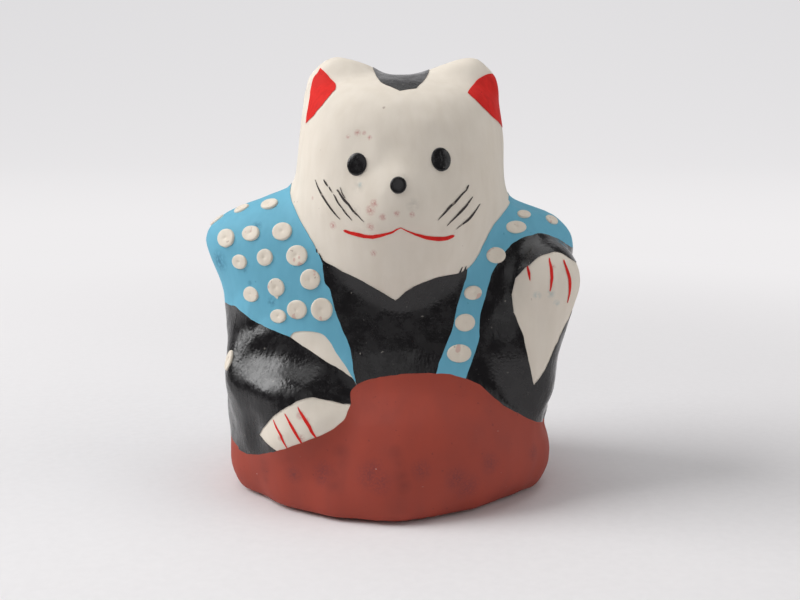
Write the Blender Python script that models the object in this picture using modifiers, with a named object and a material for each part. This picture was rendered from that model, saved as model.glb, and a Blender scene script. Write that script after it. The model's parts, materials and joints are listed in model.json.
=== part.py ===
"""Lucky cat figurine: a hollow clay figure pressed in two halves, with its painted coats, dots and strokes.

The figure faces -Y and stands on z = 0. West is the viewer's left and the cat's right.
"""

from collections import namedtuple
from math import copysign, cos, hypot, pi, radians, sin

import bmesh
import bpy
from mathutils import Euler, Matrix, Vector
from mathutils.bvhtree import BVHTree
from mathutils.geometry import interpolate_bezier

MM = 0.001

# Driving sizes of the clay figure
BODY_WIDTH = 43.2 * MM
BODY_DEPTH = 32.8 * MM
BODY_HEIGHT = 36.0 * MM
HEAD_WIDTH = 25.2 * MM
HEAD_DEPTH = 24.6 * MM
HEAD_SHIFT = 0.9 * MM
CHIN_HEIGHT = 22.0 * MM
CROWN_HEIGHT = 47.7 * MM
EAR_RISE = 2.5 * MM
EAR_WIDTH = 11.0 * MM
EAR_DEPTH = 8.6 * MM
EAR_HEIGHT = 7.4 * MM
EAR_SPREAD = 0.50
EAR_TILT = 18

# The clay wall, the lute of slip between the halves and the disc that closes the base
WALL = 4.5 * MM
BASE_WALL = 4.0 * MM
SLIP = 0.6 * MM
PLUG_WIDTH = 16.0 * MM
PLUG_TAPER = 1.2 * MM
VENT_WIDTH = 4.8 * MM

# Paint: the gap that keeps neighbours apart, coats, raised dots and brush strokes
GAP = 0.15 * MM
COAT = 0.25 * MM
FOOT = 0.4 * MM
DOT_WIDTH = 2.2 * MM
DOT_RISE = 0.55 * MM
EYE_WIDTH = 2.3 * MM
EYE_HEIGHT = 2.8 * MM
NOSE_WIDTH = 1.95 * MM
FEATURE_RISE = 0.4 * MM
WHISKER_WIDTH = 0.34 * MM
CLAW_WIDTH = 0.44 * MM
MOUTH_WIDTH = 0.48 * MM

# How finely the form is worked: grain of the clay model and triangles of its skin
GRAIN = 0.8 * MM
SKIN_TRIANGLES = 2400

# Sections of the two stacks: height, then reach to the west, east, front and back,
# as shares of the stack's height, half width and half depth
BODY_SECTIONS = (
    (-0.055, 0.77, 0.72, 0.85, 0.755),
    (0.015, 0.84, 0.80, 0.975, 0.84),
    (0.085, 0.895, 0.865, 1.035, 0.90),
    (0.165, 0.905, 0.855, 1.04, 0.915),
    (0.28, 0.91, 0.86, 0.95, 0.90),
    (0.39, 0.905, 0.885, 0.805, 0.88),
    (0.50, 0.905, 0.925, 0.73, 0.85),
    (0.61, 0.91, 0.96, 0.705, 0.825),
    (0.72, 0.97, 0.97, 0.67, 0.795),
    (0.79, 1.01, 0.965, 0.62, 0.75),
    (0.84, 1.0, 0.94, 0.575, 0.695),
    (0.885, 0.93, 0.87, 0.525, 0.635),
    (0.925, 0.80, 0.735, 0.465, 0.56),
    (0.965, 0.63, 0.58, 0.38, 0.44),
    (1.0, 0.40, 0.38, 0.25, 0.28),
)
HEAD_SECTIONS = (
    (0.0, 0.36, 0.36, 0.845, 0.41),
    (0.077, 0.525, 0.525, 0.975, 0.57),
    (0.154, 0.68, 0.68, 1.04, 0.68),
    (0.23, 0.825, 0.825, 1.075, 0.765),
    (0.327, 0.935, 0.935, 1.09, 0.83),
    (0.442, 1.0, 1.0, 1.095, 0.88),
    (0.558, 0.968, 0.968, 1.075, 0.91),
    (0.692, 0.952, 0.952, 1.03, 0.90),
    (0.808, 0.92, 0.92, 0.95, 0.84),
    (0.904, 0.88, 0.88, 0.815, 0.70),
    (0.962, 0.755, 0.755, 0.60, 0.50),
    (1.0, 0.475, 0.475, 0.325, 0.28),
)
BODY_SQUARENESS = 2.1
HEAD_SQUARENESS = 2.4

# Rounded masses laid on the stacks: place as shares of the stack, then sizes and turn
Mass = namedtuple("Mass", "name stack across along up width depth height turn")
MASSES = (
    Mass("lap", "body", 0.04, -0.20, 0.155, 35.0 * MM, 28.6 * MM, 23.0 * MM, (0, 0, 0)),
    Mass("lowered_arm", "body", -0.52, -0.52, 0.365, 18.0 * MM, 11.4 * MM, 12.0 * MM, (0, 28, -20)),
    Mass("lowered_paw", "body", -0.43, -0.78, 0.265, 11.0 * MM, 6.6 * MM, 7.2 * MM, (0, -20, -10)),
    Mass("raised_sleeve", "body", 0.62, -0.40, 0.45, 11.6 * MM, 10.0 * MM, 18.0 * MM, (0, 0, 0)),
    Mass("raised_paw", "body", 0.785, -0.38, 0.68, 8.6 * MM, 10.0 * MM, 10.4 * MM, (0, 8, 0)),
    Mass("raised_arm", "body", 0.75, -0.36, 0.51, 8.2 * MM, 9.2 * MM, 16.0 * MM, (0, 8, 0)),
    Mass("muzzle", "head", -0.01, -0.94, 0.46, 10.4 * MM, 6.6 * MM, 9.2 * MM, (0, 0, 0)),
)

# Edges between the painted coats, seen from the front or the back, as shares of the body
ASIDE = 1.3
ASIDE_BACK = 1.35
SLEEVE_EDGE = ((-ASIDE, 0.60), (-0.88, 0.60), (-0.72, 0.57), (-0.53, 0.53))
LINING_FOOT = ((-0.53, 0.53), (-0.29, 0.45), (-0.19, 0.405))
LINING = ((-0.53, 0.53), (-0.47, 0.55), (-0.37, 0.55), (-0.30, 0.50), (-0.245, 0.465))
VEST_FRONT = ((-0.36, 0.90), (-0.35, 0.74), (-0.30, 0.63), (-0.22, 0.50))
CHEST_SIDE = ((-0.22, 0.50), (-0.19, 0.405))
WAIST = ((-0.19, 0.405), (-0.05, 0.425), (0.15, 0.435), (0.22, 0.435))
STRAP_FOOT = ((0.22, 0.435), (0.30, 0.43), (0.39, 0.405))
HIP_EAST = ((0.39, 0.405), (0.47, 0.385), (0.55, 0.335), (0.65, 0.29), (0.80, 0.23), (ASIDE, 0.20))
STRAP_WEST = ((0.40, 0.90), (0.38, 0.73), (0.33, 0.63), (0.29, 0.53), (0.22, 0.435))
STRAP_EAST = (
    (0.39, 0.405),
    (0.44, 0.52),
    (0.455, 0.61),
    (0.51, 0.73),
    (0.60, 0.80),
    (0.73, 0.835),
    (0.85, 0.825),
    (0.95, 0.775),
    (ASIDE, 0.75),
)
SLEEVE_END = ((-0.19, 0.405), (-0.205, 0.375), (-0.21, 0.345))
CUFF = ((-0.21, 0.345), (-0.33, 0.36), (-0.43, 0.375), (-0.55, 0.34), (-0.69, 0.23))
PAW_TIP = ((-0.69, 0.23), (-0.59, 0.20))
PAW_FOOT = ((-0.59, 0.20), (-0.45, 0.24), (-0.33, 0.275), (-0.24, 0.32), (-0.21, 0.345))
HEM_WEST = ((-0.59, 0.20), (-0.73, 0.15), (-0.88, 0.125), (-ASIDE, 0.11))
RAISED_PAW = (
    (0.73, 0.38),
    (0.68, 0.49),
    (0.62, 0.61),
    (0.61, 0.67),
    (0.65, 0.725),
    (0.75, 0.78),
    (0.85, 0.79),
    (0.96, 0.765),
    (1.06, 0.70),
    (1.02, 0.62),
    (0.90, 0.555),
    (0.73, 0.38),
)
RAISED_PAW_BACK = -0.28
BACK_WEST = ((-ASIDE_BACK, 0.60), (-0.88, 0.60), (-0.68, 0.56), (-0.45, 0.46), (-0.33, 0.35))
BACK_EAST = ((0.33, 0.35), (0.45, 0.47), (0.72, 0.66), (0.95, 0.775), (ASIDE_BACK, 0.75))
BACK_HIP_WEST = ((-0.33, 0.35), (-0.50, 0.28), (-0.70, 0.19), (-0.88, 0.125), (-ASIDE_BACK, 0.11))
BACK_HIP_EAST = ((0.33, 0.35), (0.50, 0.31), (0.72, 0.255), (0.85, 0.22), (ASIDE_BACK, 0.20))
BACK_WAIST = ((-0.33, 0.35), (0.0, 0.345), (0.33, 0.35))
OVERHEAD = 1.2
OVERHEAD_BACK = 1.25

# Edges on the head, as shares of the head
JAW = (
    (-1.05, 0.48),
    (-0.97, 0.43),
    (-0.79, 0.31),
    (-0.69, 0.235),
    (-0.28, 0.13),
    (-0.05, 0.06),
)
JAW_EAST = ((-0.05, 0.06), (0.11, 0.12), (0.34, 0.165), (0.56, 0.19), (0.81, 0.35), (0.95, 0.42), (1.05, 0.47))
NAPE = ((-1.05, 0.48), (-0.70, 0.40), (0.0, 0.37), (0.70, 0.40), (1.05, 0.47))
EAR_WEST = ((-0.84, 0.80), (-0.80, 0.97), (-0.72, 1.03), (-0.57, 0.95), (-0.66, 0.89), (-0.84, 0.80))
EAR_EAST = ((0.86, 0.82), (0.58, 0.93), (0.70, 0.99), (0.82, 1.01), (0.86, 0.93), (0.86, 0.82))
CROWN = (
    (-0.26, -0.10),
    (-0.15, -0.55),
    (0.0, -0.70),
    (0.14, -0.65),
    (0.27, -0.15),
    (0.24, 0.30),
    (0.0, 0.50),
    (-0.24, 0.30),
    (-0.26, -0.10),
)

# Raised dots: place on the body as shares, then width as a share of the usual dot
DOTS_FRONT = (
    (-0.88, 0.82, 1.0),
    (-0.74, 0.84, 0.92),
    (-0.57, 0.85, 1.06),
    (-0.80, 0.75, 0.85),
    (-0.66, 0.77, 0.9),
    (-0.49, 0.78, 1.1),
    (-0.74, 0.65, 0.85),
    (-0.60, 0.68, 0.95),
    (-0.42, 0.71, 1.1),
    (-0.59, 0.59, 0.82),
    (-0.49, 0.615, 1.05),
    (-0.36, 0.62, 1.2),
    (-0.81, 0.905, 1.0),
    (-0.65, 0.925, 1.1),
    (0.70, 0.905, 0.9),
    (0.85, 0.87, 0.9),
    (0.64, 0.86, 1.05),
    (0.53, 0.78, 1.0),
    (0.41, 0.67, 0.95),
    (0.37, 0.58, 1.05),
    (0.34, 0.485, 1.2),
)
DOTS_BACK = (
    (-0.78, 0.82, 1.0),
    (-0.45, 0.80, 1.05),
    (0.0, 0.78, 1.1),
    (0.45, 0.80, 1.0),
    (0.80, 0.84, 1.0),
    (-0.48, 0.62, 1.0),
    (0.0, 0.60, 1.1),
    (0.48, 0.64, 1.0),
    (0.0, 0.44, 1.0),
)
SLEEVE_DOT = (-0.89, 0.45, 1.0)

# Dabs and strokes of the brush, from the front, as shares of the head or the body;
# a stroke's marks also hold the share of its full width there
EYE_WEST = (-0.37, 0.635)
EYE_EAST = (0.34, 0.655)
NOSE = (-0.02, 0.555)
MOUTH = (
    (-0.47, 0.355, 0.7),
    (-0.34, 0.34, 1.0),
    (-0.20, 0.34, 0.8),
    (0.0, 0.375, 0.5),
    (0.16, 0.345, 0.8),
    (0.32, 0.325, 1.0),
    (0.46, 0.335, 0.7),
)
WHISKERS_WEST = (
    ((-0.74, 0.565, 0.5), (-0.63, 0.48, 1.0), (-0.53, 0.405, 0.6)),
    ((-0.65, 0.57, 0.5), (-0.53, 0.49, 1.0), (-0.42, 0.405, 0.6)),
    ((-0.53, 0.53, 0.5), (-0.43, 0.465, 1.0), (-0.33, 0.41, 0.6)),
)
WHISKERS_EAST = (
    ((0.58, 0.545, 0.5), (0.45, 0.475, 1.0), (0.32, 0.41, 0.6)),
    ((0.62, 0.49, 0.5), (0.51, 0.44, 1.0), (0.40, 0.39, 0.6)),
    ((0.68, 0.46, 0.5), (0.58, 0.415, 1.0), (0.48, 0.37, 0.6)),
)
CLAWS_LOWERED = (
    ((-0.595, 0.295, 0.6), (-0.565, 0.26, 1.0), (-0.545, 0.235, 0.6)),
    ((-0.54, 0.32, 0.6), (-0.495, 0.28, 1.0), (-0.465, 0.25, 0.6)),
    ((-0.47, 0.345, 0.6), (-0.42, 0.305, 1.0), (-0.385, 0.27, 0.6)),
)
CLAWS_RAISED = (
    ((0.69, 0.745, 0.6), (0.695, 0.73, 1.0), (0.70, 0.71, 0.6)),
    ((0.80, 0.765, 0.6), (0.81, 0.73, 1.0), (0.80, 0.68, 0.6)),
    ((0.89, 0.755, 0.6), (0.91, 0.71, 1.0), (0.90, 0.65, 0.6)),
)

# Finishes: colour as linear red, green and blue, then roughness
FINISHES = {
    "white_ground": ((0.78, 0.73, 0.65), 0.75),
    "bare_clay": ((0.55, 0.33, 0.21), 0.9),
    "slip_clay": ((0.62, 0.45, 0.33), 0.9),
    "red_brown_paint": ((0.25, 0.06, 0.045), 0.7),
    "black_paint": ((0.015, 0.015, 0.016), 0.35),
    "blue_paint": ((0.12, 0.47, 0.72), 0.7),
    "red_paint": ((0.65, 0.03, 0.03), 0.5),
    "dot_paint": ((0.80, 0.76, 0.69), 0.65),
}


def signed_power(value, power):
    """The value raised to a power, with its sign kept."""
    return copysign(abs(value) ** power, value)


def body_place(across, along, up):
    """A point given as shares of the body's half width, half depth and height."""
    return Vector((across * BODY_WIDTH / 2, along * BODY_DEPTH / 2, up * BODY_HEIGHT))


def head_place(across, along, up):
    """A point given as shares of the head's half width, half depth and height."""
    height = CHIN_HEIGHT + up * (CROWN_HEIGHT - CHIN_HEIGHT)
    return Vector((HEAD_SHIFT + across * HEAD_WIDTH / 2, along * HEAD_DEPTH / 2, height))


def collection(name):
    made = bpy.data.collections.new(name)
    bpy.context.scene.collection.children.link(made)
    return made


def helper(name, mesh):
    """A shaping tool or a stage of the work, left out of the model."""
    made = bpy.data.objects.new(name, mesh)
    made.parent = bpy.data.objects["figurine"]
    made.hide_render = True
    made.display_type = "WIRE"
    bpy.data.collections["cutters"].objects.link(made)
    return made


def piece(name, mesh, finish):
    """One piece of the figurine, with its finish."""
    made = bpy.data.objects.new(name, mesh)
    mesh.materials.clear()
    mesh.materials.append(bpy.data.materials[finish])
    made.parent = bpy.data.objects["figurine"]
    bpy.data.collections["lucky_cat_figurine"].objects.link(made)
    return made


def finish_material(name, colour, roughness):
    made = bpy.data.materials.new(name)
    made.use_nodes = True
    shader = made.node_tree.nodes["Principled BSDF"]
    shader.inputs["Base Color"].default_value = (*colour, 1)
    shader.inputs["Roughness"].default_value = roughness
    shader.inputs["Metallic"].default_value = 0


def shaped(made):
    """The object's mesh with its modifiers worked in."""
    graph = bpy.context.evaluated_depsgraph_get()
    return bpy.data.meshes.new_from_object(made.evaluated_get(graph))


def freeze(made):
    """Gives the object its evaluated mesh and takes its modifiers off."""
    made.data = shaped(made)
    made.modifiers.clear()
    return made


def boolean(made, tool, operation, solver="EXACT"):
    cut = made.modifiers.new(tool.name, "BOOLEAN")
    cut.solver = solver
    cut.operation = operation
    cut.object = tool


def stack(name, sections, place, squareness, sides):
    """Lofts rounded sections into one closed form."""
    model = bmesh.new()
    rings = []
    for up, west, east, front, back in sections:
        ring = []
        for step in range(sides):
            turn = 2 * pi * step / sides
            across = signed_power(cos(turn), 2 / squareness)
            along = signed_power(sin(turn), 2 / squareness)
            across *= east if across > 0 else west
            along *= back if along > 0 else front
            ring.append(model.verts.new(place(across, along, up)))
        rings.append(ring)
    for low, high in zip(rings, rings[1:]):
        for step in range(sides):
            after = (step + 1) % sides
            model.faces.new((low[step], low[after], high[after], high[step]))
    model.faces.new(reversed(rings[0]))
    model.faces.new(rings[-1])
    mesh = bpy.data.meshes.new(name)
    model.to_mesh(mesh)
    return helper(name, mesh)


def ball(name, place, size, segments=24, rings=14):
    """A rounded mass of the given width, depth and height, put in place by a matrix."""
    model = bmesh.new()
    matrix = place @ Matrix.Diagonal((*size, 1))
    bmesh.ops.create_uvsphere(model, u_segments=segments, v_segments=rings, radius=0.5, matrix=matrix)
    mesh = bpy.data.meshes.new(name)
    model.to_mesh(mesh)
    return helper(name, mesh)


def turned(centre, turn):
    """A place at the centre, turned by angles in degrees."""
    return Matrix.Translation(centre) @ Euler([radians(angle) for angle in turn]).to_matrix().to_4x4()


def clay_skin():
    """The outside of the figure: stacks and masses run together, softened and thinned."""
    skin = stack("skin", BODY_SECTIONS, body_place, BODY_SQUARENESS, 40)
    boolean(skin, stack("head_mass", HEAD_SECTIONS, head_place, HEAD_SQUARENESS, 40), "UNION")
    for mass in MASSES:
        place = body_place if mass.stack == "body" else head_place
        centre = place(mass.across, mass.along, mass.up)
        size = (mass.width, mass.depth, mass.height)
        boolean(skin, ball(mass.name, turned(centre, mass.turn), size), "UNION")
    tilt = radians(EAR_TILT)
    ear_reach = hypot(EAR_WIDTH / 2 * sin(tilt), EAR_HEIGHT / 2 * cos(tilt))
    for side in (-1, 1):
        centre = head_place(side * EAR_SPREAD, 0, 1) + Vector((0, 0, EAR_RISE - ear_reach))
        place = turned(centre, (0, -side * EAR_TILT, 0))
        boolean(skin, ball("ear", place, (EAR_WIDTH, EAR_DEPTH, EAR_HEIGHT)), "UNION")
    melt = skin.modifiers.new("melt", "REMESH")
    melt.mode = "VOXEL"
    melt.voxel_size = GRAIN
    soften = skin.modifiers.new("soften", "SMOOTH")
    soften.iterations = 12
    freeze(skin)
    thin = skin.modifiers.new("thin", "DECIMATE")
    thin.ratio = SKIN_TRIANGLES / (2 * len(skin.data.polygons))
    return freeze(skin)


def stand_over_origin(skin):
    """Moves the whole work sideways so that the figure's outline is centred over the origin."""
    for axis in (0, 1):
        reach = [vertex.co[axis] for vertex in skin.data.vertices]
        bpy.data.objects["figurine"].location[axis] = -(min(reach) + max(reach)) / 2


def lifted(skin, name, amount):
    """The skin moved outwards by an amount."""
    made = helper(name, skin.data.copy())
    lift = made.modifiers.new("lift", "DISPLACE")
    lift.strength = amount
    lift.mid_level = 0
    return freeze(made)


def hollow_sections(sections, half_width, half_depth):
    """The sections that are wide enough to be hollow, drawn in by the wall."""
    drawn = []
    for up, west, east, front, back in sections:
        inner = (
            west - WALL / half_width,
            east - WALL / half_width,
            front - WALL / half_depth,
            back - WALL / half_depth,
        )
        if min(inner) > 0.05:
            drawn.append((up, *inner))
    return drawn


def hollow_body_place(across, along, up):
    """A point in the body's hollow, over the base wall."""
    return body_place(across, along, 0) + Vector((0, 0, BASE_WALL + max(up, 0) * (BODY_HEIGHT - BASE_WALL)))


def hollow_head_place(across, along, up):
    """A point in the head's hollow, under the crown's wall."""
    return head_place(across, along, up * (1 - WALL / (CROWN_HEIGHT - CHIN_HEIGHT)))


def block(name, low, high):
    """A box between two corners."""
    model = bmesh.new()
    middle = (Vector(low) + Vector(high)) / 2
    size = Vector(high) - Vector(low)
    matrix = Matrix.Translation(middle) @ Matrix.Diagonal((*size, 1))
    bmesh.ops.create_cube(model, size=1, matrix=matrix)
    mesh = bpy.data.meshes.new(name)
    model.to_mesh(mesh)
    return helper(name, mesh)


def cone(name, low_width, high_width, low, high):
    """A round plug shape on the Z axis."""
    model = bmesh.new()
    matrix = Matrix.Translation((0, 0, (low + high) / 2))
    bmesh.ops.create_cone(
        model,
        cap_ends=True,
        segments=32,
        radius1=low_width / 2,
        radius2=high_width / 2,
        depth=high - low,
        matrix=matrix,
    )
    mesh = bpy.data.meshes.new(name)
    model.to_mesh(mesh)
    return helper(name, mesh)


def clay_pieces(skin):
    """The two pressed halves, the slip between them and the disc in the base."""
    far = BODY_WIDTH + BODY_DEPTH
    top = CROWN_HEIGHT + BODY_HEIGHT
    clay = helper("clay", skin.data.copy())
    boolean(clay, block("under_base", (-far, -far, -top), (far, far, 0)), "DIFFERENCE")
    body_hollow = hollow_sections(BODY_SECTIONS[1::2], BODY_WIDTH / 2, BODY_DEPTH / 2)
    head_hollow = hollow_sections(HEAD_SECTIONS[::2], HEAD_WIDTH / 2, HEAD_DEPTH / 2)
    hollow = stack("body_hollow", body_hollow, hollow_body_place, BODY_SQUARENESS, 20)
    boolean(hollow, stack("head_hollow", head_hollow, hollow_head_place, HEAD_SQUARENESS, 20), "UNION")
    boolean(clay, freeze(hollow), "DIFFERENCE")
    past = BASE_WALL
    slope = PLUG_TAPER / BASE_WALL
    hole_low = PLUG_WIDTH + 2 * GAP + slope * past
    hole_high = PLUG_WIDTH + 2 * GAP - PLUG_TAPER - slope * past
    boolean(clay, cone("base_hole", hole_low, hole_high, -past, BASE_WALL + past), "DIFFERENCE")
    freeze(clay)

    half_slip = SLIP / 2
    cuts = (
        ("front_half", -far, -half_slip - GAP, "white_ground"),
        ("seam_slip", -half_slip, half_slip, "slip_clay"),
        ("back_half", half_slip + GAP, far, "white_ground"),
    )
    for name, front, back, finish in cuts:
        made = piece(name, clay.data.copy(), finish)
        boolean(made, block(f"{name}_room", (-far, front, -top), (far, back, top)), "INTERSECT")

    plug = cone("plug_blank", PLUG_WIDTH, PLUG_WIDTH - PLUG_TAPER, 0, BASE_WALL)
    made = piece("base_plug", plug.data, "bare_clay")
    boolean(made, cone("vent", VENT_WIDTH, VENT_WIDTH, -past, BASE_WALL + past), "DIFFERENCE")


def curve_through(points, steps=4):
    """A smooth run of points through the given ones; two points make a straight edge."""
    knots = [Vector(point) for point in points]
    if len(knots) == 2:
        return knots
    ends = [knots[0], *knots, knots[-1]]
    run = [knots[0]]
    for before, start, end, after in zip(ends, ends[1:], ends[2:], ends[3:]):
        leave = start + (end - before) / 6
        arrive = end - (after - start) / 6
        run.extend(interpolate_bezier(start, leave, arrive, end, steps + 1)[1:])
    return run


def outline(*edges):
    """Smooth edges, end to end, as one closed outline without its doubled corners."""
    run = []
    for edge in edges:
        for point in curve_through(edge):
            if not run or (point - run[-1]).length > 1e-6:
                run.append(point)
    if (run[0] - run[-1]).length < 1e-6:
        run.pop()
    return run


def drawn_in(points, amount):
    """The outline moved inwards by an amount."""
    count = len(points)
    area = sum(points[i - 1].x * points[i].y - points[i].x * points[i - 1].y for i in range(count))
    side = copysign(1, area)
    moved = []
    for i in range(count):
        before = (points[i] - points[i - 1]).normalized()
        after = (points[(i + 1) % count] - points[i]).normalized()
        inward = side * (before.orthogonal() + after.orthogonal())
        mitre = max(inward.normalized().dot(before.orthogonal() * side), 0.4)
        moved.append(points[i] + inward.normalized() * amount / mitre)
    return moved


def prism(name, points, low, high, from_above=False):
    """A filled outline drawn out between two depths, or between two heights."""
    curve = bpy.data.curves.new(name, "CURVE")
    curve.dimensions = "2D"
    curve.fill_mode = "BOTH"
    curve.extrude = (high - low) / 2
    spline = curve.splines.new("POLY")
    spline.points.add(len(points) - 1)
    for knot, point in zip(spline.points, points):
        knot.co = (point.x, point.y, 0, 1)
    spline.use_cyclic_u = True
    drawn = bpy.data.objects.new(name, curve)
    bpy.data.collections["cutters"].objects.link(drawn)
    mesh = shaped(drawn)
    bpy.data.objects.remove(drawn)
    middle = (high + low) / 2
    if from_above:
        mesh.transform(Matrix.Translation((0, 0, middle)))
    else:
        mesh.transform(Matrix.Translation((0, middle, 0)) @ Matrix.Rotation(pi / 2, 4, "X"))
    model = bmesh.new()
    model.from_mesh(mesh)
    bmesh.ops.remove_doubles(model, verts=model.verts, dist=1e-7)
    bmesh.ops.recalc_face_normals(model, faces=model.faces)
    model.to_mesh(mesh)
    return helper(name, mesh)


def seen(points, place):
    """Shares of the head or the body as a flat outline in metres, seen from the front."""
    flat = []
    for point in points:
        spot = place(point.x, 0, point.y)
        flat.append(Vector((spot.x, spot.z)))
    return flat


def backwards(edge):
    return tuple(reversed(edge))


def room(name, front, back=None, face=None, nape=None):
    """The space a coat fills: its front and back outlines drawn out, without the head's."""
    far = BODY_DEPTH
    tuck = GAP / 5
    made = prism(name, drawn_in(seen(front, body_place), GAP / 2), -far, tuck)
    if face:
        boolean(made, face, "DIFFERENCE")
    if back:
        behind = prism(f"{name}_back", drawn_in(seen(back, body_place), GAP / 2), -tuck, far)
        if nape:
            boolean(behind, nape, "DIFFERENCE")
            freeze(behind)
        boolean(made, behind, "UNION")
    return freeze(made)


def coats(skin):
    """The painted coats, each cut from one thin shell over the clay."""
    shell = lifted(skin, "shell", GAP)
    thicken = shell.modifiers.new("thicken", "SOLIDIFY")
    thicken.thickness = COAT
    thicken.offset = 1
    freeze(shell)

    above = ((-1.05, 2), (-1.05, 0.48))
    above_east = ((1.05, 0.47), (1.05, 2))
    over = ((1.05, 2), (-1.05, 2))
    far = BODY_DEPTH
    face_line = outline(above, JAW, JAW_EAST, above_east, over)
    nape_line = outline(above, NAPE, above_east, over)
    face = prism("face", seen(face_line, head_place), -2 * far, far)
    nape = prism("nape", seen(nape_line, head_place), -far, 2 * far)

    foot = FOOT / BODY_HEIGHT
    ground = ((ASIDE, foot), (-ASIDE, foot))
    ground_back = ((ASIDE_BACK, foot), (-ASIDE_BACK, foot))

    chest = outline(
        VEST_FRONT,
        CHEST_SIDE,
        WAIST,
        backwards(STRAP_WEST),
        (STRAP_WEST[0], VEST_FRONT[0]),
    )
    west_part = outline(
        ((-ASIDE, OVERHEAD), SLEEVE_EDGE[0]),
        SLEEVE_EDGE,
        LINING,
        (LINING[-1], VEST_FRONT[-1]),
        backwards(VEST_FRONT),
        (VEST_FRONT[0], (VEST_FRONT[0][0], OVERHEAD)),
    )
    east_part = outline(
        ((STRAP_WEST[0][0], OVERHEAD), STRAP_WEST[0]),
        STRAP_WEST,
        STRAP_FOOT,
        STRAP_EAST,
        (STRAP_EAST[-1], (ASIDE, OVERHEAD)),
    )
    vest_back = outline(
        ((-ASIDE_BACK, OVERHEAD_BACK), BACK_WEST[0]),
        BACK_WEST,
        BACK_WAIST,
        BACK_EAST,
        (BACK_EAST[-1], (ASIDE_BACK, OVERHEAD_BACK)),
    )
    lowered = outline(SLEEVE_EDGE, LINING_FOOT, SLEEVE_END, CUFF, PAW_TIP, HEM_WEST)
    lowered_back = outline(BACK_WEST, BACK_HIP_WEST)
    raised = outline(HIP_EAST, backwards(STRAP_EAST))
    raised_back = outline(BACK_HIP_EAST, backwards(BACK_EAST))
    skirt = outline(
        ground,
        backwards(HEM_WEST),
        PAW_FOOT,
        backwards(SLEEVE_END),
        WAIST,
        STRAP_FOOT,
        HIP_EAST,
    )
    skirt_back = outline(ground_back, backwards(BACK_HIP_WEST), BACK_WAIST, BACK_HIP_EAST)

    vest = room("vest_room", west_part, vest_back, face, nape)
    boolean(vest, room("strap_room", east_part, None, face), "UNION")
    raised_room = room("raised_room", raised, raised_back, face)
    paw_line = seen(outline(RAISED_PAW), body_place)
    paw_back = RAISED_PAW_BACK * BODY_DEPTH / 2
    boolean(raised_room, prism("raised_paw_room", paw_line, -2 * far, paw_back), "DIFFERENCE")
    rooms = (
        ("hakama_coat", room("hakama_room", skirt, skirt_back), "red_brown_paint"),
        ("chest_coat", room("chest_room", chest, None, face), "black_paint"),
        ("lowered_sleeve_coat", room("lowered_room", lowered, lowered_back), "black_paint"),
        ("raised_sleeve_coat", freeze(raised_room), "black_paint"),
        ("vest_coat", freeze(vest), "blue_paint"),
        ("right_ear_coat", ear_room("right_ear_room", EAR_WEST), "red_paint"),
        ("left_ear_coat", ear_room("left_ear_room", EAR_EAST), "red_paint"),
        ("crown_coat", crown_room(), "black_paint"),
    )
    for name, tool, finish in rooms:
        boolean(piece(name, shell.data.copy(), finish), tool, "INTERSECT", "MANIFOLD")


def ear_room(name, edge):
    return prism(name, seen(outline(edge), head_place), -2 * HEAD_DEPTH, 0)


def crown_room():
    flat = []
    for point in outline(CROWN):
        spot = head_place(point.x, point.y, 0)
        flat.append(Vector((spot.x, spot.y)))
    return prism("crown_room", flat, CROWN_HEIGHT - EAR_HEIGHT, CROWN_HEIGHT + EAR_HEIGHT, from_above=True)


class Bed:
    """The surface that paint is laid on: where a mark seen from one side lands."""

    def __init__(self, skin, name, amount):
        self.tool = lifted(skin, name, amount)
        self.tree = BVHTree.FromObject(self.tool, bpy.context.evaluated_depsgraph_get())

    def land(self, spot, side=-1):
        """The point and its normal under a mark seen from the front, or from the back with side 1."""
        start = Vector((spot.x, side * (BODY_DEPTH + HEAD_DEPTH), spot.z))
        point, normal, _, _ = self.tree.ray_cast(start, Vector((0, -side, 0)))
        return point, normal


def dab(name, bed, spot, size, finish, side=-1):
    """A raised dab of thick paint: a flat ball laid on the bed and cut by it."""
    point, normal = bed.land(spot, side)
    upright = normal.to_track_quat("Z", "Y").to_matrix().to_4x4()
    blank = ball(f"{name}_blank", Matrix.Translation(point) @ upright, size, 10, 6)
    boolean(piece(name, blank.data, finish), bed.tool, "DIFFERENCE")


def ribbon(marks, place, width):
    """The flat outline of a brush stroke through the marks, as wide at each as its share says."""
    left = []
    right = []
    path = curve_through(marks)
    flat = seen(path, place)
    for index, (spot, mark) in enumerate(zip(flat, path)):
        before = flat[max(index - 1, 0)]
        after = flat[min(index + 1, len(flat) - 1)]
        aside = (after - before).orthogonal().normalized() * width / 2 * mark.z
        left.append(spot + aside)
        right.append(spot - aside)
    return left + right[::-1]


def stroke(name, marks, place, width, finish):
    """A brush stroke: the part of the thin shell under its outline."""
    tool = prism(f"{name}_room", ribbon(marks, place, width), -BODY_DEPTH - HEAD_DEPTH, 0)
    shell = bpy.data.objects["shell"]
    boolean(piece(name, shell.data.copy(), finish), tool, "INTERSECT", "MANIFOLD")


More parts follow.
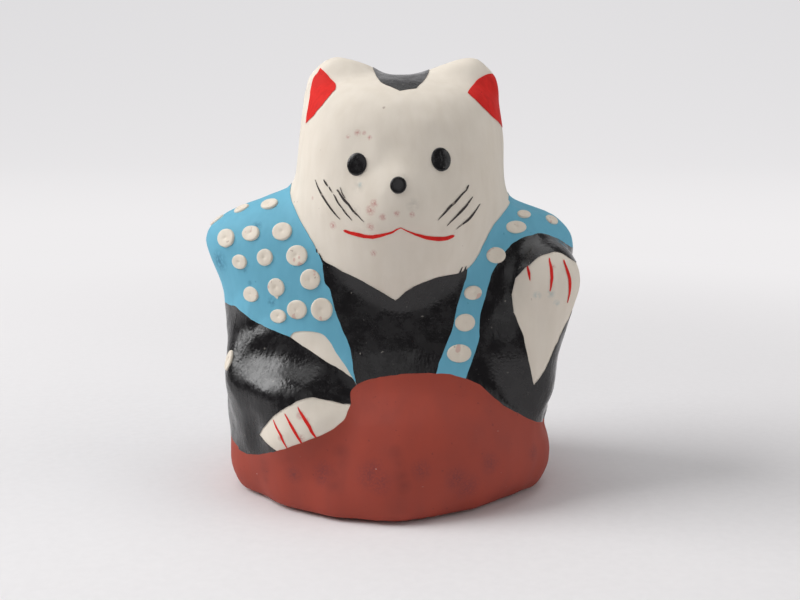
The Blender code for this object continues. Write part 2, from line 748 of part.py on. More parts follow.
def paint_marks(skin):
    """Dots on the vest and sleeve, then the face and the claws."""
    coat_bed = Bed(skin, "coat_bed", 2 * GAP + COAT)
    clay_bed = Bed(skin, "clay_bed", GAP)

    def dot(name, mark, side=-1):
        across, up, share = mark
        size = (share * DOT_WIDTH, share * DOT_WIDTH, 2 * DOT_RISE)
        dab(name, coat_bed, body_place(across, 0, up), size, "dot_paint", side)

    for index, mark in enumerate(DOTS_FRONT, 1):
        dot(f"vest_front_dot_{index:02d}", mark)
    for index, mark in enumerate(DOTS_BACK, 1):
        dot(f"vest_back_dot_{index}", mark, 1)
    dot("sleeve_dot", SLEEVE_DOT)

    def face_spot(mark):
        return head_place(mark[0], 0, mark[1])

    eye = (EYE_WIDTH, EYE_HEIGHT, 2 * FEATURE_RISE)
    dab("right_eye", clay_bed, face_spot(EYE_WEST), eye, "black_paint")
    dab("left_eye", clay_bed, face_spot(EYE_EAST), eye, "black_paint")
    dab("nose", clay_bed, face_spot(NOSE), (NOSE_WIDTH, NOSE_WIDTH, 2 * FEATURE_RISE), "black_paint")
    stroke("mouth", MOUTH, head_place, MOUTH_WIDTH, "red_paint")
    strokes = (
        ("right_whisker", WHISKERS_WEST, head_place, WHISKER_WIDTH, "black_paint"),
        ("left_whisker", WHISKERS_EAST, head_place, WHISKER_WIDTH, "black_paint"),
        ("lowered_claw", CLAWS_LOWERED, body_place, CLAW_WIDTH, "red_paint"),
        ("raised_claw", CLAWS_RAISED, body_place, CLAW_WIDTH, "red_paint"),
    )
    for name, paths, place, width, finish in strokes:
        for index, marks in enumerate(paths, 1):
            stroke(f"{name}_{index}", marks, place, width, finish)


def main():
    for old in list(bpy.data.objects):
        bpy.data.objects.remove(old)
    collection("lucky_cat_figurine")
    collection("cutters")
    bpy.data.collections["lucky_cat_figurine"].objects.link(bpy.data.objects.new("figurine", None))
    for name, (colour, roughness) in FINISHES.items():
        finish_material(name, colour, roughness)
    skin = clay_skin()
    stand_over_origin(skin)
    clay_pieces(skin)
    coats(skin)
    paint_marks(skin)


if __name__ == "__main__":
    main()
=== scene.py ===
"""Lucky cat figurine: the fine clay form, its hand-laid paint and the stage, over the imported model.

The figure faces -Y. West is the viewer's left and the cat's right.
"""

import json
import math
import random
import bpy
from mathutils import Euler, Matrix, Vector, noise
from mathutils.geometry import interpolate_bezier

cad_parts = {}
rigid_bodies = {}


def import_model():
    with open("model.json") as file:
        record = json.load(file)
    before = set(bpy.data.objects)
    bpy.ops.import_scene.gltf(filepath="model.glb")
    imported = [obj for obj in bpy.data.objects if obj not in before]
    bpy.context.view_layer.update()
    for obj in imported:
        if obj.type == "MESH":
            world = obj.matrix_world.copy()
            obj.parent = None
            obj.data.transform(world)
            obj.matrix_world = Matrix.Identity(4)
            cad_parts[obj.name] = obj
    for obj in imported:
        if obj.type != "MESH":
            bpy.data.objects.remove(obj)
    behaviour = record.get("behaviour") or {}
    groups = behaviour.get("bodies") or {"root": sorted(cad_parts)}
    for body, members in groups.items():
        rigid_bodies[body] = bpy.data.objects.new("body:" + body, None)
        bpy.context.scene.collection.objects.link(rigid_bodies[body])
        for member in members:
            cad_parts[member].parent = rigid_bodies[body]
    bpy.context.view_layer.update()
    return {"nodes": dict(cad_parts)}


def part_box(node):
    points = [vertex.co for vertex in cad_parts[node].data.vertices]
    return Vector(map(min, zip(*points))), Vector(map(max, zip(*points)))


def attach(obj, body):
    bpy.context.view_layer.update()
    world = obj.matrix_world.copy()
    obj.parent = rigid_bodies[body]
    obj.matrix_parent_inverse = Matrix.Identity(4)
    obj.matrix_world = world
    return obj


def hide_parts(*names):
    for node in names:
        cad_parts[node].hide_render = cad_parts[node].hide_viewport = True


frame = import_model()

bl_info = {
    "name": "Lucky cat figurine",
    "version": (1, 0, 0),
    "blender": (4, 5, 0),
    "location": "3D View > Sidebar > Figurine",
    "description": "Dresses the clay lucky cat with its fine form, its paint and a stage",
    "category": "Object",
}

MM = 0.001

# Lengths in millimetres that take blocks, rooms and rays past the figure, or lap two pieces
REACH = 60
OVER_HEAD = 52
OVER_VEST, OVER_VEST_BEHIND = 45, 46
OVER_FLOOR, OVER_FLOOR_BEHIND = 0.05, 0.06
ROOM_LAP = 0.03
SLIP_LAP = 0.6
PLUG_LAP = 0.5
PLUG_MARGIN = 4
RAY_FRONT = -100
RAY_START = 20

# Clay this low is pressed flat, the seat of a dot lies this near its node, and the lights aim this high
FLAT_FOOT = 0.15
SEAT_REACH = 2
LIGHT_AIM = 20

# Where the maker's thumbs moved the clay: a place, the shift there and how far it reaches, in millimetres
PRESSES = (
    ((-9.2, 0.6, 49.2), (0.65, 0, -0.45), 3.6),
    ((-4.2, 0.8, 49.9), (0, 0, -0.2), 3),
    ((6.2, 1, 49.6), (0, 0, -0.5), 4.2),
    ((11.8, 0.4, 49), (-0.45, 0, -0.3), 3.4),
    ((-10.6, -1.5, 40), (0.18, 0, 0), 7),
    ((-11.6, 1.6, 35.5), (0.35, 0, -0.85), 3.2),
    ((-10, 0.5, 47.1), (0.5, 0, -0.1), 2.5),
    ((13.2, -1.9, 37), (-0.25, 0, 0), 5),
    ((13.8, -1.8, 34.4), (-0.35, 0, -0.15), 2.6),
    ((1.3, -12.4, 37.6), (0, -0.35, 0), 3.2),
    ((-3.8, -11, 40.4), (0, 0.2, 0), 2.6),
    ((5.4, -11, 40.6), (0, 0.2, 0), 2.6),
    ((-15.5, 1.5, 34), (0, 0, -0.4), 6),
    ((-19.6, 0.5, 31.9), (0.15, 0, -0.3), 3),
    ((-21, 0, 28.8), (-0.45, 0, 0), 7),
    ((-19.1, -1, 20), (-0.35, 0, 0), 5),
    ((-18.5, -6, 12), (-0.3, 0, 0), 5),
    ((-18.9, -2.3, 9), (-0.55, 0, 0), 3.6),
    ((-16.5, -5.2, 20.6), (0, -0.9, 0), 3.4),
    ((-17, -8.2, 17.6), (0.1, 0.9, 0), 4.2),
    ((-14.6, -10.4, 17.3), (0, 1.1, 0), 4.4),
    ((-12.2, -11.4, 17.2), (0, 1.1, 0), 4.4),
    ((-10, -11.8, 17), (0, 0.5, 0), 3.6),
    ((-16.3, -9.8, 15.5), (0, 1.4, 0), 5),
    ((-12, -12, 15.5), (0, 0.5, 0), 4.5),
    ((-11, -13, 13.8), (0, -0.4, 0), 4.2),
    ((-18.6, -3.5, 18.4), (-0.5, 0, 0), 2.8),
    ((-18.6, -3.5, 12.2), (-0.4, 0, 0), 3),
    ((-18.2, -6.2, 17), (-0.35, 0, 0), 4),
    ((-18.3, -7.3, 13), (-0.3, 0, 0), 4),
    ((-16.8, -8, 8.6), (-0.45, -0.5, 0), 4),
    ((-18.55, -4.3, 17.6), (-0.6, 0, 0), 2.4),
    ((-18.9, -6.6, 15), (0.6, 0, 0), 2.4),
    ((-18.6, -5.5, 11.6), (-0.5, 0, 0), 2.6),
    ((14.8, 0.8, 34.3), (0, 0, -1.1), 5.5),
    ((20.8, 0, 29), (0.6, 0, 0), 4.5),
    ((21.3, -6.5, 25.5), (0.2, 0, 0), 3),
    ((20.3, -6, 16.8), (-0.85, 0, 0), 5.5),
    ((18.2, -4.5, 8.1), (-0.25, 0, 0), 3),
    ((18.6, -2.8, 7.5), (-0.5, 0, 0), 2.2),
    ((18.7, 0, 7.2), (-0.5, 0, 0), 2.2),
    ((18.6, 2.8, 7.2), (-0.5, 0, 0), 2.4),
    ((-6.7, -13.3, 0.3), (-0.1, -1.1, 0), 5),
    ((18.2, -4, 3), (0.5, 0, 0), 5),
    ((17, -6, 1), (0.3, -0.3, 0), 4),
    ((11.8, -10.4, 0.4), (-0.3, 0.6, 0), 4.5),
    ((13.5, -8.7, 0.2), (-0.15, 0.25, 0), 3.5),
    ((0, -14.3, 0.3), (0, -1.9, 0), 9),
    ((15.3, -7.4, 0.2), (-0.3, 0.45, 0), 2.6),
    ((-11, -11, 0.3), (-0.35, -0.7, 0), 5),
    ((-17.5, -4.5, 1.2), (-0.6, -0.75, 0), 6),
)

# Where a wet finger smoothed the lumps out: the middle, the radius in millimetres and the passes
SMOOTHED = (
    ((-18, -6, 14), 6.5, 30),
    ((-13, -10, 16), 5, 12),
    ((-17.8, -5.5, 18.5), 3.5, 40),
    ((-18.5, -4.5, 9.5), 5, 50),
)

# Edges between the coats of paint, in millimetres to the right and up, seen from the front
WEST, EAST = -26, 26
VEST_HEM = ((WEST, 21.4), (-19.1, 21.6), (-17.6, 21.6), (-15.3, 20.5), (-13.3, 19.8), (-11.1, 19.1))
LINING_FOOT = ((-11.1, 19.1), (-8.6, 17.7), (-6, 16.2), (-4.2, 15.1), (-3.6, 14.4))
LINING_TOP = ((-11.1, 19.1), (-10.4, 19.8), (-8, 19.8), (-6.8, 19.1), (-5.9, 17.7), (-4.4, 15.6))
VEST_OPENING = (
    (-7.4, 31), (-7.3, 26), (-6.6, 24.6), (-6.1, 22.6), (-5.5, 20.9), (-4.7, 19.1), (-4.2, 17.6),
    (-4, 15.8), (-3.6, 14.4),
)
WAIST = ((-3.6, 14.4), (-1.6, 15.1), (1.2, 15.5), (4, 15.6), (5.1, 15.5))
STRAP_FOOT = ((5.1, 15.5), (6.6, 15.4), (8.4, 14.8))
STRAP_WEST = ((8.8, 31), (8.5, 26.3), (8.1, 25), (7.4, 22.6), (6.8, 19.9), (5.7, 17.3), (5.1, 15.5))
STRAP_EAST = (
    (8.4, 14.8), (8.9, 16.2), (9.8, 18.7), (10, 21.6), (10.7, 24.1), (11.4, 26.3), (12.8, 28.4),
    (14.1, 29.5), (15.6, 30), (17.1, 30.2), (19.1, 29.5), (20.6, 28.5), (22.2, 27.8), (EAST, 27.4),
)
HIP = ((8.4, 14.8), (10, 14), (12, 12.2), (13.3, 11.2), (15, 10.1), (17.6, 8.3), (18.6, 7.5), (EAST, 6.6))
SLEEVE_END = ((-3.6, 14.4), (-4.2, 13.7), (-4.2, 12.5))
CUFF = (
    (-4.2, 12.5), (-5.4, 12.7), (-6.8, 13.1), (-8.3, 13.4), (-10, 13), (-11.3, 12.2), (-12.5, 11.3),
    (-13.6, 10), (-14.6, 8.3),
)
PAW_CORNER = ((-14.6, 8.3), (-12.4, 7.2))
PAW_FOOT = ((-12.4, 7.2), (-10.2, 8.3), (-7.8, 9.3), (-6, 10.2), (-4.8, 11.3), (-4.2, 12.5))
HEM = ((-12.4, 7.2), (-14.3, 6.1), (-15.4, 5.6), (-16.5, 5.3), (-17.5, 5.4), (-18.3, 5.8), (WEST, 6.6))
RAISED_PAW = (
    ((16.1, 13.7), (15.2, 17.3), (14.6, 19.8), (13.7, 22)),
    ((13.7, 22), (13.5, 23.8)),
    ((13.5, 23.8), (13.9, 25.6)),
    ((13.9, 25.6), (15.2, 27), (16.7, 28.1), (18.7, 28.5), (20.8, 27.2), (23, 25.6)),
    ((23, 25.6), (21.7, 22.9), (20.4, 20.9), (19.6, 19.9), (18.8, 18.4), (17.6, 15.8), (16.1, 13.7)),
)
JAW = (
    (-11.4, 34.6), (-10.8, 33.3), (-9.95, 31.8), (-8.5, 29.6), (-7.4, 27.8), (-5.1, 26.6), (-2.3, 25.3),
    (0.6, 23.5),
)
JAW_EAST = (
    (0.6, 23.5), (2.6, 25.1), (5.5, 26.1), (8.2, 26.6), (9.6, 28), (11.2, 31), (12.5, 32.4), (14, 34),
)

# The same edges round the back, which the photograph doesn't show
FAR_WEST, FAR_EAST = -27, 27
BACK_WEST = ((FAR_WEST, 21.4), (-19.1, 21.6), (-14.4, 20.2), (-9.4, 16.6), (-6.8, 12.6))
BACK_EAST = ((7.4, 12.6), (10, 16.9), (15.9, 23.8), (20.6, 27.2), (22.2, 27.8), (FAR_EAST, 27.6))
BACK_HIP_WEST = ((-6.8, 12.6), (-10.5, 10.1), (-14.8, 7.4), (-18.3, 5.8), (FAR_WEST, 6.6))
BACK_HIP_EAST = ((7.4, 12.6), (11.1, 11.2), (15.5, 8.9), (17.4, 8), (18.6, 7.45), (FAR_EAST, 6.6))
BACK_WAIST = ((-6.8, 12.6), (0.3, 12.4), (7.4, 12.6))
NAPE = ((-11.4, 34.6), (-7.6, 32.3), (1.2, 31.5), (10, 32.3), (14, 34))
NECK_WEST, NECK_EAST = -11.4, 14

# The red of the ears from the front and the patch on the crown from above, and how deep these are cut
EAR_WEST = (
    ((-9.4, 42.5), (-9.1, 45), (-8.8, 47.2), (-7.9, 48.6)),
    ((-7.9, 48.6), (-7, 47.8), (-6.1, 46.8), (-6, 46.2)),
    ((-6, 46.2), (-7.1, 44.9), (-8.6, 43.2), (-9.4, 42.5)),
)
EAR_EAST = (
    ((13.4, 41.6), (12.5, 42.3), (10.4, 44.1), (8.5, 45.9)),
    ((8.5, 45.9), (10, 47.4), (11.5, 48), (13.4, 47.6)),
    ((13.4, 47.6), (13.9, 45), (13.4, 41.6)),
)
CROWN = (
    ((-2, 0.4), (-1, -5.2), (1.1, -7.5)),
    ((1.1, -7.5), (2.9, -6.9)),
    ((2.9, -6.9), (3.9, -4.2), (4.5, 0.4), (4, 5), (1.1, 7.4), (-1.6, 5), (-2, 0.4)),
)
EAR_WEST_BACK = 1.2
CROWN_LOW, CROWN_HIGH = 43, 56

# Rounds from the side that end a patch of paint: the middle's depth and height, and the two half widths
PAW_ROUND = (-6, 23.4, 2.8, 4.8)
EAR_ROUND = (-3.2, 45.6, 4.6, 5)

# Brush strokes from the front: to the right, up and the stroke's width there
STROKES_BACK = -3.4
MOUTH = (
    (
        (-4.95, 31.26, 0.1), (-4.75, 31.2, 0.3), (-4, 31, 0.36), (-1.8, 30.7, 0.4), (0.1, 31.2, 0.24),
        (1.2, 31.75, 0.07),
    ),
    (
        (1.2, 31.75, 0.07), (2.4, 31.2, 0.2), (4, 30.6, 0.36), (5.4, 30.4, 0.46), (6.7, 30.6, 0.34),
        (6.95, 30.66, 0.1),
    ),
)
WHISKERS = {
    "right_whisker_1": (((-8.1, 36.4, 0.08), (-7.3, 34.9, 0.2), (-6.4, 33.6, 0.2), (-5.4, 32.5, 0.07)),),
    "right_whisker_2": (
        ((-7.1, 36.5, 0.08), (-6.9, 36.2, 0.2), (-6.7, 35.9, 0.1)),
        ((-6.5, 35.8, 0.1), (-6.3, 35.5, 0.16), (-6.15, 35.3, 0.08)),
        ((-6, 35, 0.1), (-5.6, 34.3, 0.2), (-5.1, 33.7, 0.12)),
        ((-5.05, 33.6, 0.14), (-4.6, 33, 0.16), (-4.1, 32.4, 0.06)),
    ),
    "right_whisker_3": (
        ((-5.55, 35.5, 0.16), (-4.6, 34.3, 0.26), (-3.7, 33.2, 0.18), (-2.75, 32.4, 0.05)),
        ((-5.3, 35.8, 0.05), (-5, 35.2, 0.09), (-4.75, 34.8, 0.05)),
    ),
    "left_whisker_1": (
        ((8.55, 36, 0.1), (8.4, 35.8, 0.2), (8.25, 35.6, 0.1)),
        ((8.2, 35.5, 0.14), (6.6, 33.9, 0.24), (5.25, 32.5, 0.06)),
    ),
    "left_whisker_2": (((8.95, 34.65, 0.1), (7.9, 33.5, 0.26), (6.3, 31.95, 0.07)),),
    "left_whisker_3": (((9.75, 33.85, 0.08), (8.7, 32.5, 0.26), (7.25, 31.45, 0.06)),),
}
CLAWS = {
    "lowered_claw_1": ((-12.6, 10.6, 0.12), (-11.8, 9.2, 0.26), (-11.2, 7.9, 0.12)),
    "lowered_claw_2": ((-11.3, 11.5, 0.12), (-10.3, 9.9, 0.32), (-9.4, 8.5, 0.14)),
    "lowered_claw_3": ((-9.8, 12.3, 0.12), (-8.8, 10.7, 0.36), (-7.9, 9.2, 0.14)),
    "raised_claw_1": ((15.2, 27, 0.14), (15.3, 26.3, 0.26), (15.4, 25.6, 0.12)),
    "raised_claw_2": ((17.6, 27.8, 0.16), (17.8, 26.3, 0.34), (17.6, 24.5, 0.12)),
    "raised_claw_3": ((19.3, 27.5, 0.16), (19.9, 25.6, 0.36), (19.8, 23.1, 0.12)),
}

# Where the black brush went past its edge at the jaw
BRISTLE_TICKS = (
    ((-8, 28.9, 0.06), (-8.05, 28.7, 0.12), (-8, 28.5, 0.05)),
    ((-7.75, 28.4, 0.05), (-7.6, 28, 0.14), (-7.3, 27.5, 0.2)),
    ((7.95, 27, 0.05), (7.8, 26.7, 0.16), (7.6, 26.2, 0.2)),
    ((8.4, 27.1, 0.05), (8.25, 26.7, 0.18), (8.1, 26.2, 0.2)),
)

# Soft spots from the front: to the right, up and the radius
ROUGE_STAINS = (
    (-4.4, 41.2, 0.3), (-3.4, 41.6, 0.45), (-2.7, 41.6, 0.3), (-2.1, 41.1, 0.35), (-1.6, 34.3, 0.6),
    (-2, 33.6, 0.7), (-0.7, 32.9, 0.5), (0.8, 33.3, 0.45), (2.4, 33.2, 0.4), (-2, 31.8, 0.55),
    (-6.1, 31.7, 0.55), (-1.7, 28.9, 0.45), (-8.4, 34.5, 0.25), (-9.6, 11.6, 0.6), (-8.9, 11.1, 0.4),
    (-9.5, 9.2, 0.5), (-11.9, 8.9, 0.4), (17.9, 27, 0.45),
)
GREY_SMUDGES = ((2.5, 34.2, 0.9), (-3.3, 36, 0.9), (-3.6, 33.4, 0.8), (1.5, 36.9, 0.7))
BLUE_SMUDGES = ((16.2, 23.9, 0.6), (17.7, 24.1, 0.6), (18.4, 23, 0.5), (-3.1, 36.2, 0.4))
VEST_SMUDGES = (
    (-19.7, 26.7, 1.7), (-16.3, 26, 0.35), (-15.8, 24.7, 0.4), (-13.2, 22.8, 0.7), (-15, 31, 0.8),
)
ROBE_STAINS = (
    (-7.2, 5.5, 1.5), (-7.3, 4.7, 1.2), (-2.1, 5.6, 1.9), (-1, 4.9, 1.7), (-1.6, 6.4, 1.2),
    (3.4, 6.1, 1.4), (7.2, 4.8, 1.7), (8.4, 3.7, 1.9), (11, 6, 1.5), (16.2, 5.8, 1.2),
    (-10.5, 4.6, 1.2),
)
# Painted shade: rows of soft spots that darken the robe in upright lines where its pleats fold
ROBE_PLEAT_SHADE = (
    (-5.2, 7.6, 1.3), (-5.4, 6.4, 1.3), (-5.7, 5.2, 1.3), (-5.9, 4, 1.3), (0.7, 7.9, 1.1),
    (1, 6.8, 1.1), (1.2, 5.7, 1.1), (1.5, 4.6, 1.1), (-14.1, 5.4, 1.1), (-14, 4.2, 1.1),
    (-13.9, 3, 1.1),
)

# Numbered dots on the vest that are wider or taller than their nodes, as shares of the width
FRONT_DOT_SHAPES = {
    1: (1.28, 1.02), 2: (1.26, 1), 3: (1.13, 1), 4: (1.22, 0.96), 5: (1.06, 1), 6: (1.12, 1),
    7: (1.24, 1.04), 8: (1.05, 1.06), 9: (1, 1.02), 10: (1.2, 1), 11: (1.08, 1), 12: (0.98, 1),
    14: (1.04, 0.85), 15: (1.2, 0.75), 16: (1.3, 0.88), 17: (1.34, 0.75), 18: (1.16, 0.88),
    19: (1.02, 0.84), 20: (1.03, 0.86), 21: (1.15, 0.83),
}
DOT_SHAPES = {f"vest_front_dot_{at:02d}": shape for at, shape in FRONT_DOT_SHAPES.items()}
DRIPPING_DOT = "vest_front_dot_08"
SLEEVE_DOT_SHAPE = (0.62, 1.12)

# The dot on the shoulder's edge, which has no node: its place and width in millimetres
SHOULDER_DOT = (-20.5, -0.3, 31)
SHOULDER_DOT_WIDTH = 2

# How unlike the dots are: a seed, shares of height and rise, and the lumps' size and depth in millimetres
DOT_SEED = 5
DOT_HEIGHTS = (0.94, 1.03)
DOT_RISES = (0.85, 1.1)
DOT_LUMP = 1.3
DOT_LUMP_DEPTH = 0.07
DRIP = ((0, -0.3, 0.9), (0, -0.9, 0.5), (0.05, -1.2, 0.2))

# The eyes and the nose, as shares of their nodes' width and height
DAB_SHAPES = {"right_eye": (1.05, 0.91), "left_eye": (1.06, 0.955), "nose": (0.95, 1.1)}

# How thick paint rises and narrows from its foot to its top, in shares of its rise and of the last width
DOT_STEPS = ((0.8, 1), (0.7, 0.96), (0.25, 0.92), (0.05, 0.8), (0, 0.3), (-0.35, 0.4))
DAB_STEPS = ((0.8, 1), (0.5, 0.95), (0.32, 0.84), (0.14, 0.6), (0.04, 0.5))

# Where the cloth starts to look evenly bright, where it is all so and where it ends in front, in millimetres
GLOW_START = 35
GLOW_END = 200
FLOOR_FRONT = -160

# The floor's width, the height of the backdrop and the round between them, in metres
FLOOR_WIDTH = 2.4
BACKDROP_HEIGHT = 1.2
BACKDROP_ROUND = 0.6

# How an edge is drawn: steps between two knots, and the wander of the brush in millimetres
EDGE_STEPS = 6
BRUSH_WANDER = 0.09
BRUSH_WAVE = 0.8

# Without a seed the brush would wander another way on each run
BRUSH_SEED = 5
noise.seed_set(BRUSH_SEED)

# Points of an outline that are closer than this are one, in millimetres
SAME_POINT = 0.001


def linear(hex_colour):
    """An sRGB hex colour as linear red, green and blue."""
    channels = [int(hex_colour[at : at + 2], 16) / 255 for at in (1, 3, 5)]
    return [value / 12.92 if value <= 0.04045 else ((value + 0.055) / 1.055) ** 2.4 for value in channels]


def colour_property(name, description, hex_colour):
    """A colour that a user can change."""
    return bpy.props.FloatVectorProperty(
        name=name, description=description, default=linear(hex_colour), size=3, min=0, max=1, subtype="COLOR"
    )


def measure(name, description, default, unit="LENGTH"):
    """A length, place, power or angle that a user can change."""
    kind = bpy.props.FloatVectorProperty if isinstance(default, tuple) else bpy.props.FloatProperty
    return kind(name=name, description=description, default=default, unit=unit)


class FigurineForm(bpy.types.PropertyGroup):
    """Sizes of the fine form and of the paint on it."""

    grain: measure("Grain", "Edge length of the fine clay surface", 0.36 * MM)
    softening: bpy.props.IntProperty(
        name="Softening", description="Passes that round the pressed clay", default=14, min=0
    )
    swell: measure("Swell", "How far the softened clay is let out again", 0.1 * MM)
    foot_draw: bpy.props.FloatProperty(
        name="Foot draw",
        description="Width of the foot's lowest edge, as a share",
        default=0.92,
        min=0.5,
        max=1,
    )
    foot_round: measure("Foot round", "Height over which the foot draws in", 0.8 * MM)
    plug_gap: measure("Plug gap", "Slip joint round the base disc", 0.12 * MM)
    coat_rise: measure("Coat rise", "How far a coat of paint stands over the clay", 0.06 * MM)
    stroke_rise: measure("Stroke rise", "How far a brush stroke stands over the clay", 0.05 * MM)
    dot_rise: measure("Dot rise", "How far a dot of thick paint stands proud", 0.24 * MM)
    dab_rise: measure("Dab rise", "How far an eye or the nose stands proud", 0.18 * MM)


class FigurinePaint(bpy.types.PropertyGroup):
    """Colours of the paint, the clay and the stage."""

    white: colour_property("White ground", "Shell white over the clay", "#e8dfd2")
    black: colour_property("Black", "Glossy black of the sleeves and chest", "#100e10")
    blue: colour_property("Blue", "Sky blue of the vest", "#6bb1ca")
    brown: colour_property("Red-brown", "Iron red-brown of the robe", "#a24333")
    red: colour_property("Red", "Vermilion of the ears, mouth and claws", "#e0322d")
    ink: colour_property("Ink", "Brown-black ink of the whiskers", "#2a2120")
    ivory: colour_property("Ivory", "Thick ivory of the raised dots", "#e6dccd")
    clay: colour_property("Bare clay", "Fired clay of the base disc", "#b98a66")
    floor: colour_property("Floor", "Pale floor and backdrop", "#e6e4e5")


class FigurineStage(bpy.types.PropertyGroup):
    """The lights and the camera round the figurine."""

    window_place: measure("Window place", "Middle of the soft window light", (-0.45, -0.03, 0.37))
    window_size: measure("Window size", "Width of the window light", 0.42)
    window_power: measure("Window power", "Strength of the window light", 2.85, "POWER")
    ceiling_place: measure("Ceiling place", "Middle of the light from above", (0, 0.055, 0.57))
    ceiling_size: measure("Ceiling size", "Width of the light from above", 0.6)
    ceiling_power: measure("Ceiling power", "Strength of the light from above", 1.3, "POWER")
    wall_place: measure("Wall place", "Middle of the light a wall throws back", (0.5, -0.11, 0.21))
    wall_size: measure("Wall size", "Width of the light from the wall", 0.6)
    wall_power: measure("Wall power", "Strength of the light from the wall", 0.95, "POWER")
    front_place: measure("Front place", "Middle of the dim light in front", (-0.05, -0.6, 0.33))
    front_size: measure("Front size", "Width of the dim light in front", 0.45)
    front_power: measure("Front power", "Strength of the dim light in front", 0.31, "POWER")
    fill: bpy.props.FloatProperty(name="Fill", description="Even light from all round", default=0.14, min=0)
    camera_place: measure("Camera place", "Where the camera stands", (0.00113, -0.12985, 0.04503))
    camera_tilt: measure(
        "Camera tilt", "Turn of the camera up from straight down", math.radians(79.8), "ROTATION"
    )


def pick(*objects):
    """Selects these objects alone, with the first one active, or nothing at all."""
    bpy.ops.object.select_all(action="DESELECT")
    for each in objects:
        each.select_set(True)
    if objects:
        bpy.context.view_layer.objects.active = objects[0]


def mode(name):
    """Turns to edit or to object mode."""
    bpy.ops.object.mode_set(mode=name)


def work(made, kind, **settings):
    """Adds a modifier to the object and applies it."""
    pick(made)
    bpy.ops.object.modifier_add(type=kind)
    modifier = made.modifiers[-1]
    for name, value in settings.items():
        setattr(modifier, name, value)
    bpy.ops.object.modifier_apply(modifier=modifier.name)


def combine(made, operation, other):
    """Joins, cuts or intersects an object with another; both have to be closed."""
    work(made, "BOOLEAN", operation=operation, solver="MANIFOLD", object=other)


def copy_of(source, name):
    """A free copy of an object, with its own mesh."""
    pick(source)
    bpy.ops.object.duplicate()
    made = bpy.context.active_object
    made.name = name
    made.parent = None
    for key in list(made.keys()):
        del made[key]
    return made


def discard(*objects):
    """Deletes objects that were only needed on the way."""
    pick(*objects)
    bpy.ops.object.delete()


def settle(made, material, slot, *nodes):
    """Finishes a piece: smooth shading, its paint, its body and the nodes that it stands for."""
    pick(made)
    bpy.ops.object.shade_smooth_by_angle(angle=math.radians(50))
    made.data.materials.clear()
    made.data.materials.append(material)
    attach(made, "root")
    if nodes:
        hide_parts(*nodes)


def clay_copy(node, seam):
    """A welded copy of one clay half, with its seam face drawn past the slip to the other half."""
    made = copy_of(frame["nodes"][node], f"{node}_work")
    mode("EDIT")
    bpy.ops.mesh.select_mode(type="FACE")
    bpy.ops.mesh.select_all(action="SELECT")
    bpy.ops.mesh.remove_doubles(threshold=1e-7)
    bpy.ops.mesh.select_all(action="DESELECT")
    mode("OBJECT")
    reach = seam * max(seam * vertex.co.y for vertex in made.data.vertices)
    for face in made.data.polygons:
        face.select = abs(face.center.y - reach) < 0.01 * MM
    mode("EDIT")
    bpy.ops.transform.translate(value=(0, seam * SLIP_LAP * MM, 0))
    mode("OBJECT")
    return made


def choose(made, chosen):
    """Opens an object for editing with only these vertices selected."""
    pick(made)
    for parts in (made.data.vertices, made.data.edges, made.data.polygons):
        parts.foreach_set("select", [False] * len(parts))
    for vertex in chosen:
        vertex.select = True
    mode("EDIT")
    bpy.ops.mesh.select_mode(type="VERT")


def press(clay, place, shift, reach):
    """Moves the clay at one place as a thumb does, fading out over its reach."""
    face = clay.closest_point_on_mesh(place)[3]
    choose(clay, [clay.data.vertices[clay.data.polygons[face].vertices[0]]])
    bpy.ops.transform.translate(
        value=shift, use_proportional_edit=True, proportional_edit_falloff="SMOOTH", proportional_size=reach
    )
    mode("OBJECT")


def plug_block(vertices, lap, margin):
    """A solid in the place of the base disc, wider all round by a lap and taller by a margin."""
    low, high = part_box("base_plug")
    bpy.ops.mesh.primitive_cylinder_add(
        vertices=vertices,
        radius=(high.x - low.x) / 2 + lap,
        depth=high.z - low.z + margin,
        location=(low + high) / 2,
    )
    return bpy.context.active_object


def fine_figure(form):
    """The hollow clay as one fine surface, and a jig of its outer skin that the paint is laid on."""
    clay = clay_copy("front_half", 1)
    back = clay_copy("back_half", -1)
    work(clay, "BOOLEAN", operation="UNION", object=back)
    disc = plug_block(vertices=48, lap=PLUG_LAP * MM, margin=0)
    work(clay, "BOOLEAN", operation="UNION", object=disc)
    discard(back, disc)
    work(clay, "REMESH", mode="VOXEL", voxel_size=form.grain)
    work(clay, "SMOOTH", factor=0.5, iterations=form.softening)
    work(clay, "DISPLACE", strength=form.swell, mid_level=0)
    for place, shift, reach in PRESSES:
        press(clay, Vector(place) * MM, Vector(shift) * MM, reach * MM)
    for place, radius, passes in SMOOTHED:
        middle = Vector(place) * MM
        choose(clay, [each for each in clay.data.vertices if (each.co - middle).length < radius * MM])
        bpy.ops.mesh.vertices_smooth(factor=0.5, repeat=passes)
        mode("OBJECT")
    choose(clay, [each for each in clay.data.vertices if each.co.z < FLAT_FOOT * MM])
    bpy.ops.transform.resize(value=(1, 1, 0), center_override=(0, 0, 0))
    bpy.ops.transform.resize(
        value=(form.foot_draw, form.foot_draw, 1),
        center_override=(0, 0, 0),
        use_proportional_edit=True,
        proportional_edit_falloff="SMOOTH",
        proportional_size=form.foot_round,
    )
    mode("OBJECT")

    figure = copy_of(clay, "figure_jig")
    choose(figure, [max(figure.data.vertices, key=lambda each: each.co.z)])
    bpy.ops.mesh.select_linked()
    bpy.ops.mesh.select_all(action="INVERT")
    bpy.ops.mesh.delete(type="VERT")
    mode("OBJECT")
    return clay, figure


